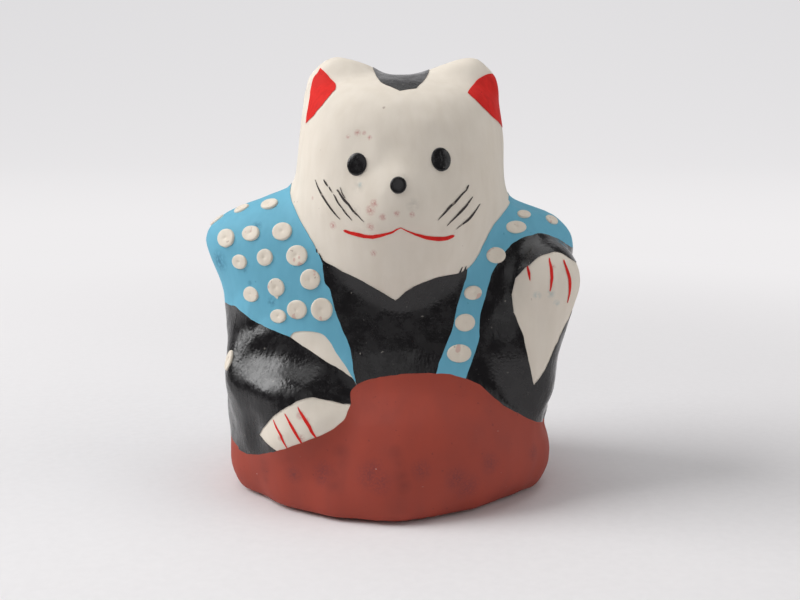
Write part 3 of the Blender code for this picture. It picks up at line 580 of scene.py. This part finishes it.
def brushed_edge(edge):
    """Points along an edge: a smooth curve through its knots, with the small wander of a hand-held brush."""
    if len(edge) == 2:
        return [Vector(knot) for knot in edge]
    knots = [Vector((across, up, 0)) for across, up in edge]
    knots = [2 * knots[0] - knots[1], *knots, 2 * knots[-1] - knots[-2]]
    points = []
    for before, start, end, after in zip(knots, knots[1:], knots[2:], knots[3:]):
        lead = start + (end - before) / 6
        trail = end - (after - start) / 6
        points += interpolate_bezier(start, lead, trail, end, EDGE_STEPS)[:-1]
    points.append(knots[-2])
    return [(point + BRUSH_WANDER * noise.noise_vector(point / BRUSH_WAVE)).xy for point in points]


def outline_block(name, edges, near, far, from_above=False):
    """A solid through the figure under a drawn outline, which has corners where its edges meet."""
    rim = []
    for edge in edges:
        rim += [point for point in brushed_edge(edge) if not rim or (point - rim[-1]).length > SAME_POINT]
    if (rim[0] - rim[-1]).length < SAME_POINT:
        rim.pop()
    pick()
    bpy.ops.mesh.primitive_circle_add(vertices=len(rim), fill_type="NGON")
    made = bpy.context.active_object
    made.name = name
    for vertex, point in zip(made.data.vertices, rim):
        place = (point.x, point.y, near) if from_above else (point.x, near, point.y)
        vertex.co = Vector(place) * MM
    made.data.update()
    facing = made.data.polygons[0].normal[2 if from_above else 1]
    work(made, "SOLIDIFY", thickness=(far - near) * MM, offset=math.copysign(1, facing))
    return made


def rounded_block(name, edges, side_round):
    """A solid under an outline from the front that ends in a round when it is seen from the side."""
    depth, height, deep, tall = side_round
    made = outline_block(name, edges, -REACH, depth + ROOM_LAP)
    behind = outline_block(f"{name}_behind", edges, depth, REACH)
    pick()
    bpy.ops.mesh.primitive_cylinder_add(
        vertices=96,
        radius=MM,
        depth=REACH * MM,
        location=(0, depth * MM, height * MM),
        rotation=(0, math.pi / 2, 0),
    )
    bar = bpy.context.active_object
    bpy.ops.transform.resize(value=(1, deep, tall))
    bpy.ops.object.transform_apply(location=True, rotation=True, scale=True)
    combine(behind, "INTERSECT", bar)
    combine(made, "UNION", behind)
    discard(bar, behind)
    return made


def backwards(edge):
    """The same edge from its other end."""
    return tuple(reversed(edge))


def coat_room(name, front, back=None, head=None, nape=None):
    """The room of one coat: its front outline less the head, with its back outline less the nape."""
    room = outline_block(name, front, -REACH, ROOM_LAP)
    if head:
        combine(room, "DIFFERENCE", head)
    if back:
        behind = outline_block(f"{name}_back", back, -ROOM_LAP, REACH)
        if nape:
            combine(behind, "DIFFERENCE", nape)
        combine(room, "UNION", behind)
        discard(behind)
    return room


def coat_from(room, name, shell):
    """One coat: the part of the paint shell inside its room."""
    made = copy_of(shell, name)
    combine(made, "INTERSECT", room)
    discard(room)
    if not 0 < len(made.data.polygons) < len(shell.data.polygons):
        raise RuntimeError(f"{name} wasn't cut from the paint")
    return made


def paint_shell(rise):
    """A thin skin all over the figure, which each coat and stroke is cut from."""
    made = copy_of(bpy.data.objects["figure_jig"], "paint_shell")
    work(made, "SOLIDIFY", thickness=2 * rise, offset=0)
    return made


def stroke_room(name, marks, far):
    """The room of a brush stroke that swells and tapers through its marks."""
    spots = [Vector(mark[:2]) for mark in marks]
    left, right = [], []
    for at, (spot, mark) in enumerate(zip(spots, marks)):
        along = (spots[min(at + 1, len(spots) - 1)] - spots[max(at - 1, 0)]).normalized()
        aside = Vector((-along.y, along.x)) * mark[2] / 2
        left.append(spot + aside)
        right.append(spot - aside)
    start = spots[0] + (spots[0] - spots[1]).normalized() * marks[0][2] / 2
    end = spots[-1] + (spots[-1] - spots[-2]).normalized() * marks[-1][2] / 2
    return outline_block(name, ((start, *left, end), (end, *reversed(right), start)), -REACH, far)


def land(across, up):
    """Where a mark seen from the front lies on the figure."""
    figure = bpy.data.objects["figure_jig"]
    hit, point, _, _ = figure.ray_cast(Vector((across, RAY_FRONT, up)) * MM, Vector((0, 1, 0)))
    if not hit:
        raise RuntimeError(f"no clay under the mark at {across}, {up} mm")
    return point


def seat(spot):
    """The clay straight in from a spot on the front or back, or else nearest to it, and its normal."""
    figure = bpy.data.objects["figure_jig"]
    inward = Vector((0, -math.copysign(1, spot.y), 0))
    hit, point, normal, _ = figure.ray_cast(spot - RAY_START * MM * inward, inward)
    if not hit or (point - spot).length > SEAT_REACH * MM:
        _, point, normal, _ = figure.closest_point_on_mesh(spot)
    return point, normal


def thick_paint(name, steps):
    """A round dab of thick paint, one unit wide and high, drawn up step by step from its foot."""
    pick()
    foot = (0, 0, -steps[0][0])
    bpy.ops.mesh.primitive_circle_add(vertices=24, radius=0.5, fill_type="NGON", location=foot)
    made = bpy.context.active_object
    made.name = name
    bpy.ops.object.transform_apply()
    mode("EDIT")
    bpy.ops.mesh.select_all(action="SELECT")
    for rise, width in steps:
        bpy.ops.mesh.extrude_region_move(TRANSFORM_OT_translate={"value": (0, 0, rise)})
        bpy.ops.transform.resize(value=(width, width, 1), center_override=(0, 0, 0))
    bpy.ops.mesh.select_all(action="SELECT")
    bpy.ops.mesh.normals_make_consistent(inside=False)
    # Extruding numbers the faces in another order on each run, so they are sorted from a place off the middle
    cursor = bpy.context.scene.cursor
    cursor.location = (3, 2, 1)
    bpy.ops.mesh.sort_elements(type="CURSOR_DISTANCE", elements={"VERT", "EDGE", "FACE"})
    cursor.location = (0, 0, 0)
    mode("OBJECT")
    work(made, "SUBSURF", levels=1, render_levels=1)
    return made


def lay_on(pattern, name, spot, size, turn):
    """A copy of a dab, laid square on the figure at a spot and turned in its own plane."""
    made = copy_of(pattern, name)
    point, normal = seat(spot)
    made.scale = size
    made.location = point
    spin = Euler((0, 0, turn)).to_quaternion()
    made.rotation_euler = (normal.to_track_quat("Z", "Y") @ spin).to_euler()
    bpy.ops.object.transform_apply()
    return made


def node(tree, kind, inputs=None, out=None, **settings):
    """Adds a shader node with its links, values and settings, and gives its named or first output in use."""
    made = tree.nodes.new(f"ShaderNode{kind}")
    for name, value in settings.items():
        setattr(made, name, value)
    for key, value in (inputs or {}).items():
        named = [each for each in made.inputs if each.enabled and each.name == key]
        socket = named[0] if named else made.inputs[key]
        if isinstance(value, bpy.types.NodeSocket):
            tree.links.new(value, socket)
        else:
            socket.default_value = value
    return next(each for each in made.outputs if each.enabled and out in (None, each.name))


def per_mm(size):
    """The texture scale whose features are about this many millimetres across."""
    return 1 / (size * MM)


def shade(colour):
    """A hex or a linear colour as a socket takes it."""
    return (*(linear(colour) if isinstance(colour, str) else colour), 1)


class HandLaid:
    """Paint laid by hand: clouded between two tones, with the tracks of the brush in its colour and relief.

    The patches and the bristle tracks are in millimetres across, and so is the height of the relief.
    """

    def __init__(self, name, colour, deep, patch, bristle, relief):
        self.made = bpy.data.materials.new(name)
        self.made.use_nodes = True
        self.tree = tree = self.made.node_tree
        self.shader = tree.nodes["Principled BSDF"]
        self.place = place = node(tree, "TexCoord", out="Object")
        cloud = node(tree, "TexNoise", {"Vector": place, "Scale": per_mm(patch), "Detail": 5})
        share = node(tree, "MapRange", {"Value": cloud, "From Min": 0.38, "From Max": 0.68})
        drawn = node(tree, "Mapping", {"Vector": place, "Rotation": (0.2, 0.5, 0), "Scale": (1, 1, 0.22)})
        track = node(tree, "TexNoise", {"Vector": drawn, "Scale": per_mm(bristle), "Detail": 3})
        lean = node(tree, "MapRange", {"Value": track, "From Min": 0.3, "From Max": 0.7, "To Max": 0.25})
        both = node(tree, "Math", {0: share, 1: lean, 2: lean}, operation="MULTIPLY_ADD")
        tones = {"Factor": both, "A": shade(colour), "B": shade(deep)}
        self.tone = node(tree, "Mix", tones, data_type="RGBA")
        grit = node(tree, "TexNoise", {"Vector": place, "Scale": per_mm(0.3), "Detail": 2})
        height = node(tree, "Math", {0: grit, 1: 0.5, 2: track}, operation="MULTIPLY_ADD")
        bump = node(tree, "Bump", {"Height": height, "Distance": relief * MM, "Strength": 1})
        tree.links.new(bump, self.shader.inputs["Normal"])

    def tint(self, mask, strength, colour):
        """Lays a colour over the paint where a mask says, at a part of its strength."""
        share = node(self.tree, "Math", {0: mask, 1: strength}, operation="MULTIPLY")
        tones = {"Factor": share, "A": self.tone, "B": shade(colour)}
        self.tone = node(self.tree, "Mix", tones, data_type="RGBA")

    def soft_spots(self, spots, grit, strength, colour):
        """Marks the paint at soft, ragged spots, each given from the front with its radius."""
        tree = self.tree
        total = None
        for across, up, radius in spots:
            around = {"Vector": self.place, "Location": land(across, up), "Scale": (radius * MM,) * 3}
            near = node(tree, "Mapping", around, vector_type="TEXTURE")
            spot = node(tree, "TexGradient", {"Vector": near}, "Fac", gradient_type="SPHERICAL")
            total = node(tree, "Math", {0: total, 1: spot}, operation="MAXIMUM") if total else spot
        speckle = node(tree, "TexNoise", {"Vector": self.place, "Scale": per_mm(grit), "Detail": 5})
        broken = node(tree, "MapRange", {"Value": speckle, "From Min": 0.33, "From Max": 0.58})
        self.tint(node(tree, "Math", {0: total, 1: broken}, operation="MULTIPLY"), strength, colour)

    def specks(self, size, rarity, strength, colour):
        """Strews small specks over the paint, at the peaks of a fine noise."""
        peaks = node(self.tree, "TexNoise", {"Vector": self.place, "Scale": per_mm(size), "Detail": 1})
        mask = node(self.tree, "MapRange", {"Value": peaks, "From Min": rarity, "From Max": rarity + 0.03})
        self.tint(mask, strength, colour)

    def finish(self, roughness, specular=0.5):
        """Gives the shader its colour, its roughness and the strength of its reflection."""
        self.tree.links.new(self.tone, self.shader.inputs["Base Color"])
        self.shader.inputs["Roughness"].default_value = roughness
        self.shader.inputs["Specular IOR Level"].default_value = specular
        return self.made


def shell_white_ground(paint):
    """Ground shell and glue over fired clay: chalky and warm, with old rouge stains, smudges and specks."""
    white = HandLaid("shell_white_ground", paint.white, "#dacfbf", 6, 1.2, 0.012)
    white.soft_spots(GREY_SMUDGES, 0.5, 0.3, "#8f8a80")
    white.soft_spots(BLUE_SMUDGES, 0.4, 0.5, "#8fb0b5")
    white.soft_spots(ROUGE_STAINS, 0.2, 0.75, "#b9625f")
    white.specks(0.9, 0.79, 0.5, "#8b6f63")
    return white.finish(0.78, 0.3)


def blue_poster_paint(paint):
    """Chalky sky-blue paint: flat and even, a little deeper in patches, with dark flecks rubbed into it."""
    blue = HandLaid("blue_poster_paint", paint.blue, "#5a9fbb", 4.5, 0.9, 0.01)
    blue.soft_spots(VEST_SMUDGES, 0.4, 0.8, "#2f6c8b")
    blue.specks(0.7, 0.76, 0.5, "#4b88a3")
    return blue.finish(0.68, 0.35)


def black_glue_paint(paint, name="black_glue_paint", dull=0.36):
    """Lamp black bound with glue: glossy where it lies thick, dull and streaked where the brush ran dry."""
    black = HandLaid(name, paint.black, "#1a181a", 2.2, 0.42, 0.045)
    black.specks(0.5, 0.77, 0.6, "#8f8b84")
    cloud = {"Vector": black.place, "Scale": per_mm(1.6), "Detail": 6, "Roughness": 0.65}
    gloss = node(black.tree, "TexNoise", cloud)
    levels = {"Value": gloss, "From Min": 0.4, "From Max": 0.62, "To Min": 0.16, "To Max": dull}
    black.tree.links.new(node(black.tree, "MapRange", levels), black.shader.inputs["Roughness"])
    return black.finish(dull)


def iron_red_paint(paint):
    """Iron-oxide red-brown paint: matte and warm, with upright brush streaks, painted shade in dark upright
    lines where the pleats fold, and purple-brown stains.
    """
    brown = HandLaid("iron_red_paint", paint.brown, "#863d35", 3.5, 2.2, 0.012)
    # Painted shade: darker upright lines where the robe's pleats fold
    brown.soft_spots(ROBE_PLEAT_SHADE, 3, 0.5, "#6f312c")
    brown.soft_spots(ROBE_STAINS, 0.22, 0.5, "#55303a")
    brown.specks(0.5, 0.74, 0.4, "#5a2d31")
    brown.specks(0.6, 0.79, 0.7, "#c9b9b0")
    return brown.finish(0.66, 0.35)


def vermilion_paint(paint):
    """Vermilion: a dense bright red, a little darker where it pools, with a soft gloss."""
    red = HandLaid("vermilion_paint", paint.red, "#b01f1e", 1.8, 0.5, 0.01)
    red.specks(0.4, 0.74, 0.4, "#8e2023")
    return red.finish(0.55, 0.06)


def ivory_relief_paint(paint):
    """Thick shell white let down in drops: smooth and ivory, with a brown-pink stain here and there."""
    ivory = HandLaid("ivory_relief_paint", paint.ivory, "#d3c6b5", 1.2, 0.6, 0.01)
    ivory.specks(1.1, 0.66, 0.5, "#c79186")
    ivory.specks(0.5, 0.72, 0.5, "#9c8172")
    return ivory.finish(0.6)


def whisker_ink(paint):
    """Thin brown-black ink from a fine brush: broken where the hairs ran dry on the chalky ground."""
    ink = HandLaid("whisker_ink", paint.ink, "#4a3a36", 0.8, 0.4, 0.005)
    ink.specks(0.4, 0.66, 0.6, "#b7aa9c")
    return ink.finish(0.6)


def fired_clay(paint):
    """Low-fired earthenware: dry and porous, warm brown, with pale and dark grit."""
    clay = HandLaid("fired_clay", paint.clay, "#a67652", 3, 0.8, 0.03)
    clay.specks(0.35, 0.68, 0.6, "#7c5639")
    clay.specks(0.5, 0.7, 0.5, "#dcc3a4")
    return clay.finish(0.9)


def pale_cloth(paint):
    """Pale matte cloth: it takes the figure's shadow close by, and farther off looks evenly bright."""
    cloth = HandLaid("pale_cloth", paint.floor, "#dfddde", 40, 1, 0.01)
    made = cloth.finish(0.95)
    tree = cloth.tree
    span = node(tree, "VectorMath", {0: cloth.place}, "Value", operation="LENGTH")
    back = node(tree, "MapRange", {"Value": span, "From Min": 0.3, "From Max": 1.35})
    tones = {"Factor": back, "A": shade("#efedee"), "B": shade("#d9d8da")}
    glow = node(tree, "Emission", {"Color": node(tree, "Mix", tones, data_type="RGBA"), "Strength": 1})
    fade = {"Value": span, "From Min": GLOW_START * MM, "From Max": GLOW_END * MM}
    far = node(tree, "MapRange", fade, interpolation_type="SMOOTHSTEP")
    path = node(tree, "LightPath", out="Is Camera Ray")
    seen = node(tree, "Math", {0: path, 1: path.node.outputs["Is Glossy Ray"]}, operation="MAXIMUM")
    share = node(tree, "Math", {0: far, 1: seen}, operation="MULTIPLY")
    both = node(tree, "MixShader", {0: share, 1: cloth.shader.outputs["BSDF"], 2: glow})
    tree.links.new(both, tree.nodes["Material Output"].inputs["Surface"])
    return made


class FIGURINE_OT_clay(bpy.types.Operator):
    """Makes the two hollow clay halves under their white ground, open below for the base disc"""

    bl_idname = "figurine.clay"
    bl_label = "Clay halves"

    def execute(self, context):
        form = context.scene.figurine_form
        clay, _ = fine_figure(form)
        hole = plug_block(vertices=64, lap=form.plug_gap, margin=PLUG_MARGIN * MM)
        combine(clay, "DIFFERENCE", hole)
        discard(hole)

        ground = shell_white_ground(context.scene.figurine_paint)
        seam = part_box("seam_slip")[0].y
        reach = REACH * MM
        halves = (("front_half", -1, ("front_half", "seam_slip")), ("back_half", 1, ("back_half",)))
        for name, side, nodes in halves:
            made = copy_of(clay, f"{name}_clay")
            pick()
            bpy.ops.mesh.primitive_cube_add(size=2 * reach, location=(0, seam + side * reach, 0))
            block = context.active_object
            combine(made, "INTERSECT", block)
            discard(block)
            settle(made, ground, "white_ground", *nodes)
        discard(clay)
        return {"FINISHED"}


class FIGURINE_OT_base(bpy.types.Operator):
    """Gives the disc that closes the base its bare clay"""

    bl_idname = "figurine.base"
    bl_label = "Base disc"

    def execute(self, context):
        disc = frame["nodes"]["base_plug"]
        disc.data.materials.clear()
        disc.data.materials.append(fired_clay(context.scene.figurine_paint))
        return {"FINISHED"}


class FIGURINE_OT_coats(bpy.types.Operator):
    """Lays the coats of the robe, the sleeves, the chest, the vest, the ears and the crown"""

    bl_idname = "figurine.coats"
    bl_label = "Coats of paint"

    def execute(self, context):
        paint = context.scene.figurine_paint
        shell = paint_shell(context.scene.figurine_form.coat_rise)

        west_side = ((NECK_WEST, OVER_HEAD), (NECK_WEST, JAW[0][1]))
        east_side = ((NECK_EAST, JAW_EAST[-1][1]), (NECK_EAST, OVER_HEAD))
        head = outline_block("head_room", (west_side, JAW, JAW_EAST, east_side), -REACH, REACH)
        nape = outline_block("nape_room", (west_side, NAPE, east_side), -REACH, REACH)
        ground = ((EAST, OVER_FLOOR), (WEST, OVER_FLOOR))
        ground_behind = ((FAR_EAST, OVER_FLOOR_BEHIND), (FAR_WEST, OVER_FLOOR_BEHIND))

        chest = coat_room("chest_room", (VEST_OPENING, WAIST, backwards(STRAP_WEST)), head=head)
        down = ((WEST, OVER_VEST), VEST_HEM[0])
        tip = (LINING_TOP[-1], VEST_OPENING[-1])
        up = (VEST_OPENING[0], (VEST_OPENING[0][0], OVER_VEST))
        vest_front = (down, VEST_HEM, LINING_TOP, tip, backwards(VEST_OPENING), up)
        down = ((FAR_WEST, OVER_VEST_BEHIND), BACK_WEST[0])
        up = (BACK_EAST[-1], (FAR_EAST, OVER_VEST_BEHIND))
        vest = coat_room("vest_room", vest_front, (down, BACK_WEST, BACK_WAIST, BACK_EAST, up), head, nape)
        down = ((STRAP_WEST[0][0], OVER_VEST), STRAP_WEST[0])
        up = (STRAP_EAST[-1], (EAST, OVER_VEST))
        strap = coat_room("strap_room", (down, STRAP_WEST, STRAP_FOOT, STRAP_EAST, up), head=head)
        combine(vest, "UNION", strap)
        discard(strap)
        for marks in BRISTLE_TICKS:
            tick = stroke_room("tick_room", marks, 0)
            combine(vest, "DIFFERENCE", tick)
            combine(chest, "UNION", tick)
            discard(tick)
        lowered_front = (VEST_HEM, LINING_FOOT, SLEEVE_END, CUFF, PAW_CORNER, HEM)
        lowered = coat_room("lowered_room", lowered_front, (BACK_WEST, BACK_HIP_WEST))
        raised = coat_room("raised_room", (HIP, backwards(STRAP_EAST)), (BACK_HIP_EAST, backwards(BACK_EAST)))
        paw = rounded_block("paw_room", RAISED_PAW, PAW_ROUND)
        combine(raised, "DIFFERENCE", paw)
        robe_front = (ground, backwards(HEM), PAW_FOOT, backwards(SLEEVE_END), WAIST, STRAP_FOOT, HIP)
        robe_back = (ground_behind, backwards(BACK_HIP_WEST), BACK_WAIST, BACK_HIP_EAST)
        robe = coat_room("robe_room", robe_front, robe_back)
        west_ear = outline_block("west_ear_room", EAR_WEST, -REACH, EAR_WEST_BACK)
        east_ear = rounded_block("east_ear_room", EAR_EAST, EAR_ROUND)
        crown = outline_block("crown_room", CROWN, CROWN_LOW, CROWN_HIGH, from_above=True)
        discard(head, nape, paw)

        black = black_glue_paint(paint)
        blue = blue_poster_paint(paint)
        brown = iron_red_paint(paint)
        red = vermilion_paint(paint)
        coats = (
            ("hakama_coat", robe, brown, "red_brown_paint"),
            ("chest_coat", chest, black, "black_paint"),
            ("lowered_sleeve_coat", lowered, black, "black_paint"),
            ("raised_sleeve_coat", raised, black, "black_paint"),
            ("vest_coat", vest, blue, "blue_paint"),
            ("crown_coat", crown, black, "black_paint"),
            ("right_ear_coat", west_ear, red, "red_paint"),
            ("left_ear_coat", east_ear, red, "red_paint"),
        )
        for name, room, material, slot in coats:
            settle(coat_from(room, f"{name}_paint", shell), material, slot, name)
        discard(shell)
        return {"FINISHED"}


class FIGURINE_OT_dots(bpy.types.Operator):
    """Drops the raised dots on the vest and the sleeve"""

    bl_idname = "figurine.dots"
    bl_label = "Raised dots"

    def execute(self, context):
        form = context.scene.figurine_form
        ivory = ivory_relief_paint(context.scene.figurine_paint)
        pattern = thick_paint("dot_pattern", DOT_STEPS)
        uneven = bpy.data.textures.new("dot_unevenness", "CLOUDS")
        uneven.noise_scale = DOT_LUMP * MM
        hand = random.Random(DOT_SEED)
        for name in sorted(frame["nodes"]):
            if "dot" not in name:
                continue
            low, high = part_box(name)
            width = max(high - low)
            wide, tall = DOT_SHAPES.get(name, (1, 1))
            turn = 0 if name in DOT_SHAPES else hand.uniform(0, math.tau)
            if name == "sleeve_dot":
                (wide, tall), turn = SLEEVE_DOT_SHAPE, 0
            height = width * tall * hand.uniform(*DOT_HEIGHTS)
            size = (width * wide, height, form.dot_rise * hand.uniform(*DOT_RISES))
            made = lay_on(pattern, f"{name}_paint", (low + high) / 2, size, turn)
            if name == DRIPPING_DOT:
                middle = (low + high) / 2 / MM
                marks = [(middle.x + across, middle.z + up, width) for across, up, width in DRIP]
                shell = paint_shell(form.coat_rise * 2)
                drip = coat_from(stroke_room("drip_room", marks, 0), "drip", shell)
                work(made, "BOOLEAN", operation="UNION", object=drip)
                discard(shell, drip)
            depth = DOT_LUMP_DEPTH * MM
            work(made, "DISPLACE", texture=uneven, texture_coords="GLOBAL", strength=depth, mid_level=0.5)
            settle(made, ivory, "dot_paint", name)
        width = SHOULDER_DOT_WIDTH * MM
        size = (width, width, form.dot_rise)
        made = lay_on(pattern, "vest_shoulder_dot_paint", Vector(SHOULDER_DOT) * MM, size, 0)
        settle(made, ivory, "dot_paint")
        discard(pattern)
        return {"FINISHED"}


class FIGURINE_OT_dabs(bpy.types.Operator):
    """Dabs on the eyes and the nose"""

    bl_idname = "figurine.dabs"
    bl_label = "Eyes and nose"

    def execute(self, context):
        form = context.scene.figurine_form
        black = black_glue_paint(context.scene.figurine_paint, "black_eye_paint", dull=0.4)
        pattern = thick_paint("dab_pattern", DAB_STEPS)
        for name, (wide, tall) in DAB_SHAPES.items():
            low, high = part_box(name)
            size = ((high.x - low.x) * wide, (high.z - low.z) * tall, form.dab_rise)
            made = lay_on(pattern, f"{name}_paint", (low + high) / 2, size, 0)
            settle(made, black, "black_paint", name)
        discard(pattern)
        return {"FINISHED"}


class FIGURINE_OT_strokes(bpy.types.Operator):
    """Draws the mouth, the whiskers and the claws with a fine brush"""

    bl_idname = "figurine.strokes"
    bl_label = "Brush strokes"

    def execute(self, context):
        paint = context.scene.figurine_paint
        shell = paint_shell(context.scene.figurine_form.stroke_rise)
        red = bpy.data.materials["vermilion_paint"]
        ink = whisker_ink(paint)
        strokes = [("mouth", MOUTH, red, "red_paint")]
        strokes += [(name, pulls, ink, "black_paint") for name, pulls in WHISKERS.items()]
        strokes += [(name, (marks,), red, "red_paint") for name, marks in CLAWS.items()]
        for name, pulls, material, slot in strokes:
            room = stroke_room(f"{name}_room", pulls[0], STROKES_BACK)
            for marks in pulls[1:]:
                more = stroke_room(f"{name}_more", marks, STROKES_BACK)
                combine(room, "UNION", more)
                discard(more)
            settle(coat_from(room, f"{name}_paint", shell), material, slot, name)
        discard(shell)
        return {"FINISHED"}


class FIGURINE_OT_stage(bpy.types.Operator):
    """Sets the floor, the lights and the camera"""

    bl_idname = "figurine.stage"
    bl_label = "Stage"

    def execute(self, context):
        scene = context.scene
        paint, stage = scene.figurine_paint, scene.figurine_stage
        pick()
        bpy.ops.mesh.primitive_plane_add(size=FLOOR_WIDTH, location=(0, 0, 0))
        floor = context.active_object
        floor.name = "floor"
        for edge in floor.data.edges:
            edge.select = all(floor.data.vertices[at].co.y > 0 for at in edge.vertices)
        for vertex in floor.data.vertices:
            vertex.select = vertex.co.y > 0
            vertex.co.y = max(vertex.co.y, FLOOR_FRONT * MM)
        for face in floor.data.polygons:
            face.select = False
        mode("EDIT")
        bpy.ops.mesh.select_mode(type="EDGE")
        bpy.ops.mesh.extrude_region_move(TRANSFORM_OT_translate={"value": (0, 0, BACKDROP_HEIGHT)})
        mode("OBJECT")
        work(floor, "BEVEL", width=BACKDROP_ROUND, segments=24, limit_method="ANGLE")
        bpy.ops.object.shade_smooth()
        floor.data.materials.append(pale_cloth(paint))

        for source in ("window", "ceiling", "wall", "front"):
            bpy.ops.object.light_add(type="AREA", location=getattr(stage, f"{source}_place"))
            light = context.active_object
            light.name = f"{source}_light"
            light.data.shape = "DISK"
            light.data.size = getattr(stage, f"{source}_size")
            light.data.energy = getattr(stage, f"{source}_power")
            aim = Vector((0, 0, LIGHT_AIM * MM)) - light.location
            light.rotation_euler = aim.to_track_quat("-Z", "Y").to_euler()

        world = bpy.data.worlds.new("soft_room")
        scene.world = world
        world.use_nodes = True
        tree = world.node_tree
        sky = tree.nodes["Background"]
        sky.inputs["Color"].default_value = shade(paint.floor)
        seen = node(tree, "LightPath", out="Is Camera Ray")
        levels = {"Value": seen, "To Min": stage.fill, "To Max": 1}
        tree.links.new(node(tree, "MapRange", levels), sky.inputs["Strength"])

        bpy.ops.object.camera_add(location=stage.camera_place, rotation=(stage.camera_tilt, 0, 0))
        camera = context.active_object
        camera.data.lens = 50
        camera.data.sensor_width = 36
        camera.data.clip_start = 0.01
        scene.camera = camera
        scene.view_settings.view_transform = "Standard"
        return {"FINISHED"}


class FIGURINE_PT_sidebar(bpy.types.Panel):
    """Lists the steps that dress the figurine"""

    bl_idname = "FIGURINE_PT_sidebar"
    bl_label = "Lucky cat figurine"
    bl_space_type = "VIEW_3D"
    bl_region_type = "UI"
    bl_category = "Figurine"

    def draw(self, context):
        for step in STEPS:
            self.layout.operator(step.bl_idname)


STEPS = (
    FIGURINE_OT_clay,
    FIGURINE_OT_base,
    FIGURINE_OT_coats,
    FIGURINE_OT_dots,
    FIGURINE_OT_dabs,
    FIGURINE_OT_strokes,
    FIGURINE_OT_stage,
)
GROUPS = {"figurine_form": FigurineForm, "figurine_paint": FigurinePaint, "figurine_stage": FigurineStage}
CLASSES = (*GROUPS.values(), *STEPS, FIGURINE_PT_sidebar)


def register():
    for each in CLASSES:
        bpy.utils.register_class(each)
    for name, group in GROUPS.items():
        setattr(bpy.types.Scene, name, bpy.props.PointerProperty(type=group))


def unregister():
    for name in GROUPS:
        delattr(bpy.types.Scene, name)
    for each in reversed(CLASSES):
        bpy.utils.unregister_class(each)


def main():
    register()
    bpy.ops.figurine.clay()
    bpy.ops.figurine.base()
    bpy.ops.figurine.coats()
    bpy.ops.figurine.dots()
    bpy.ops.figurine.dabs()
    bpy.ops.figurine.strokes()
    bpy.ops.figurine.stage()
    discard(bpy.data.objects["figure_jig"])


if __name__ == "__main__":
    main()
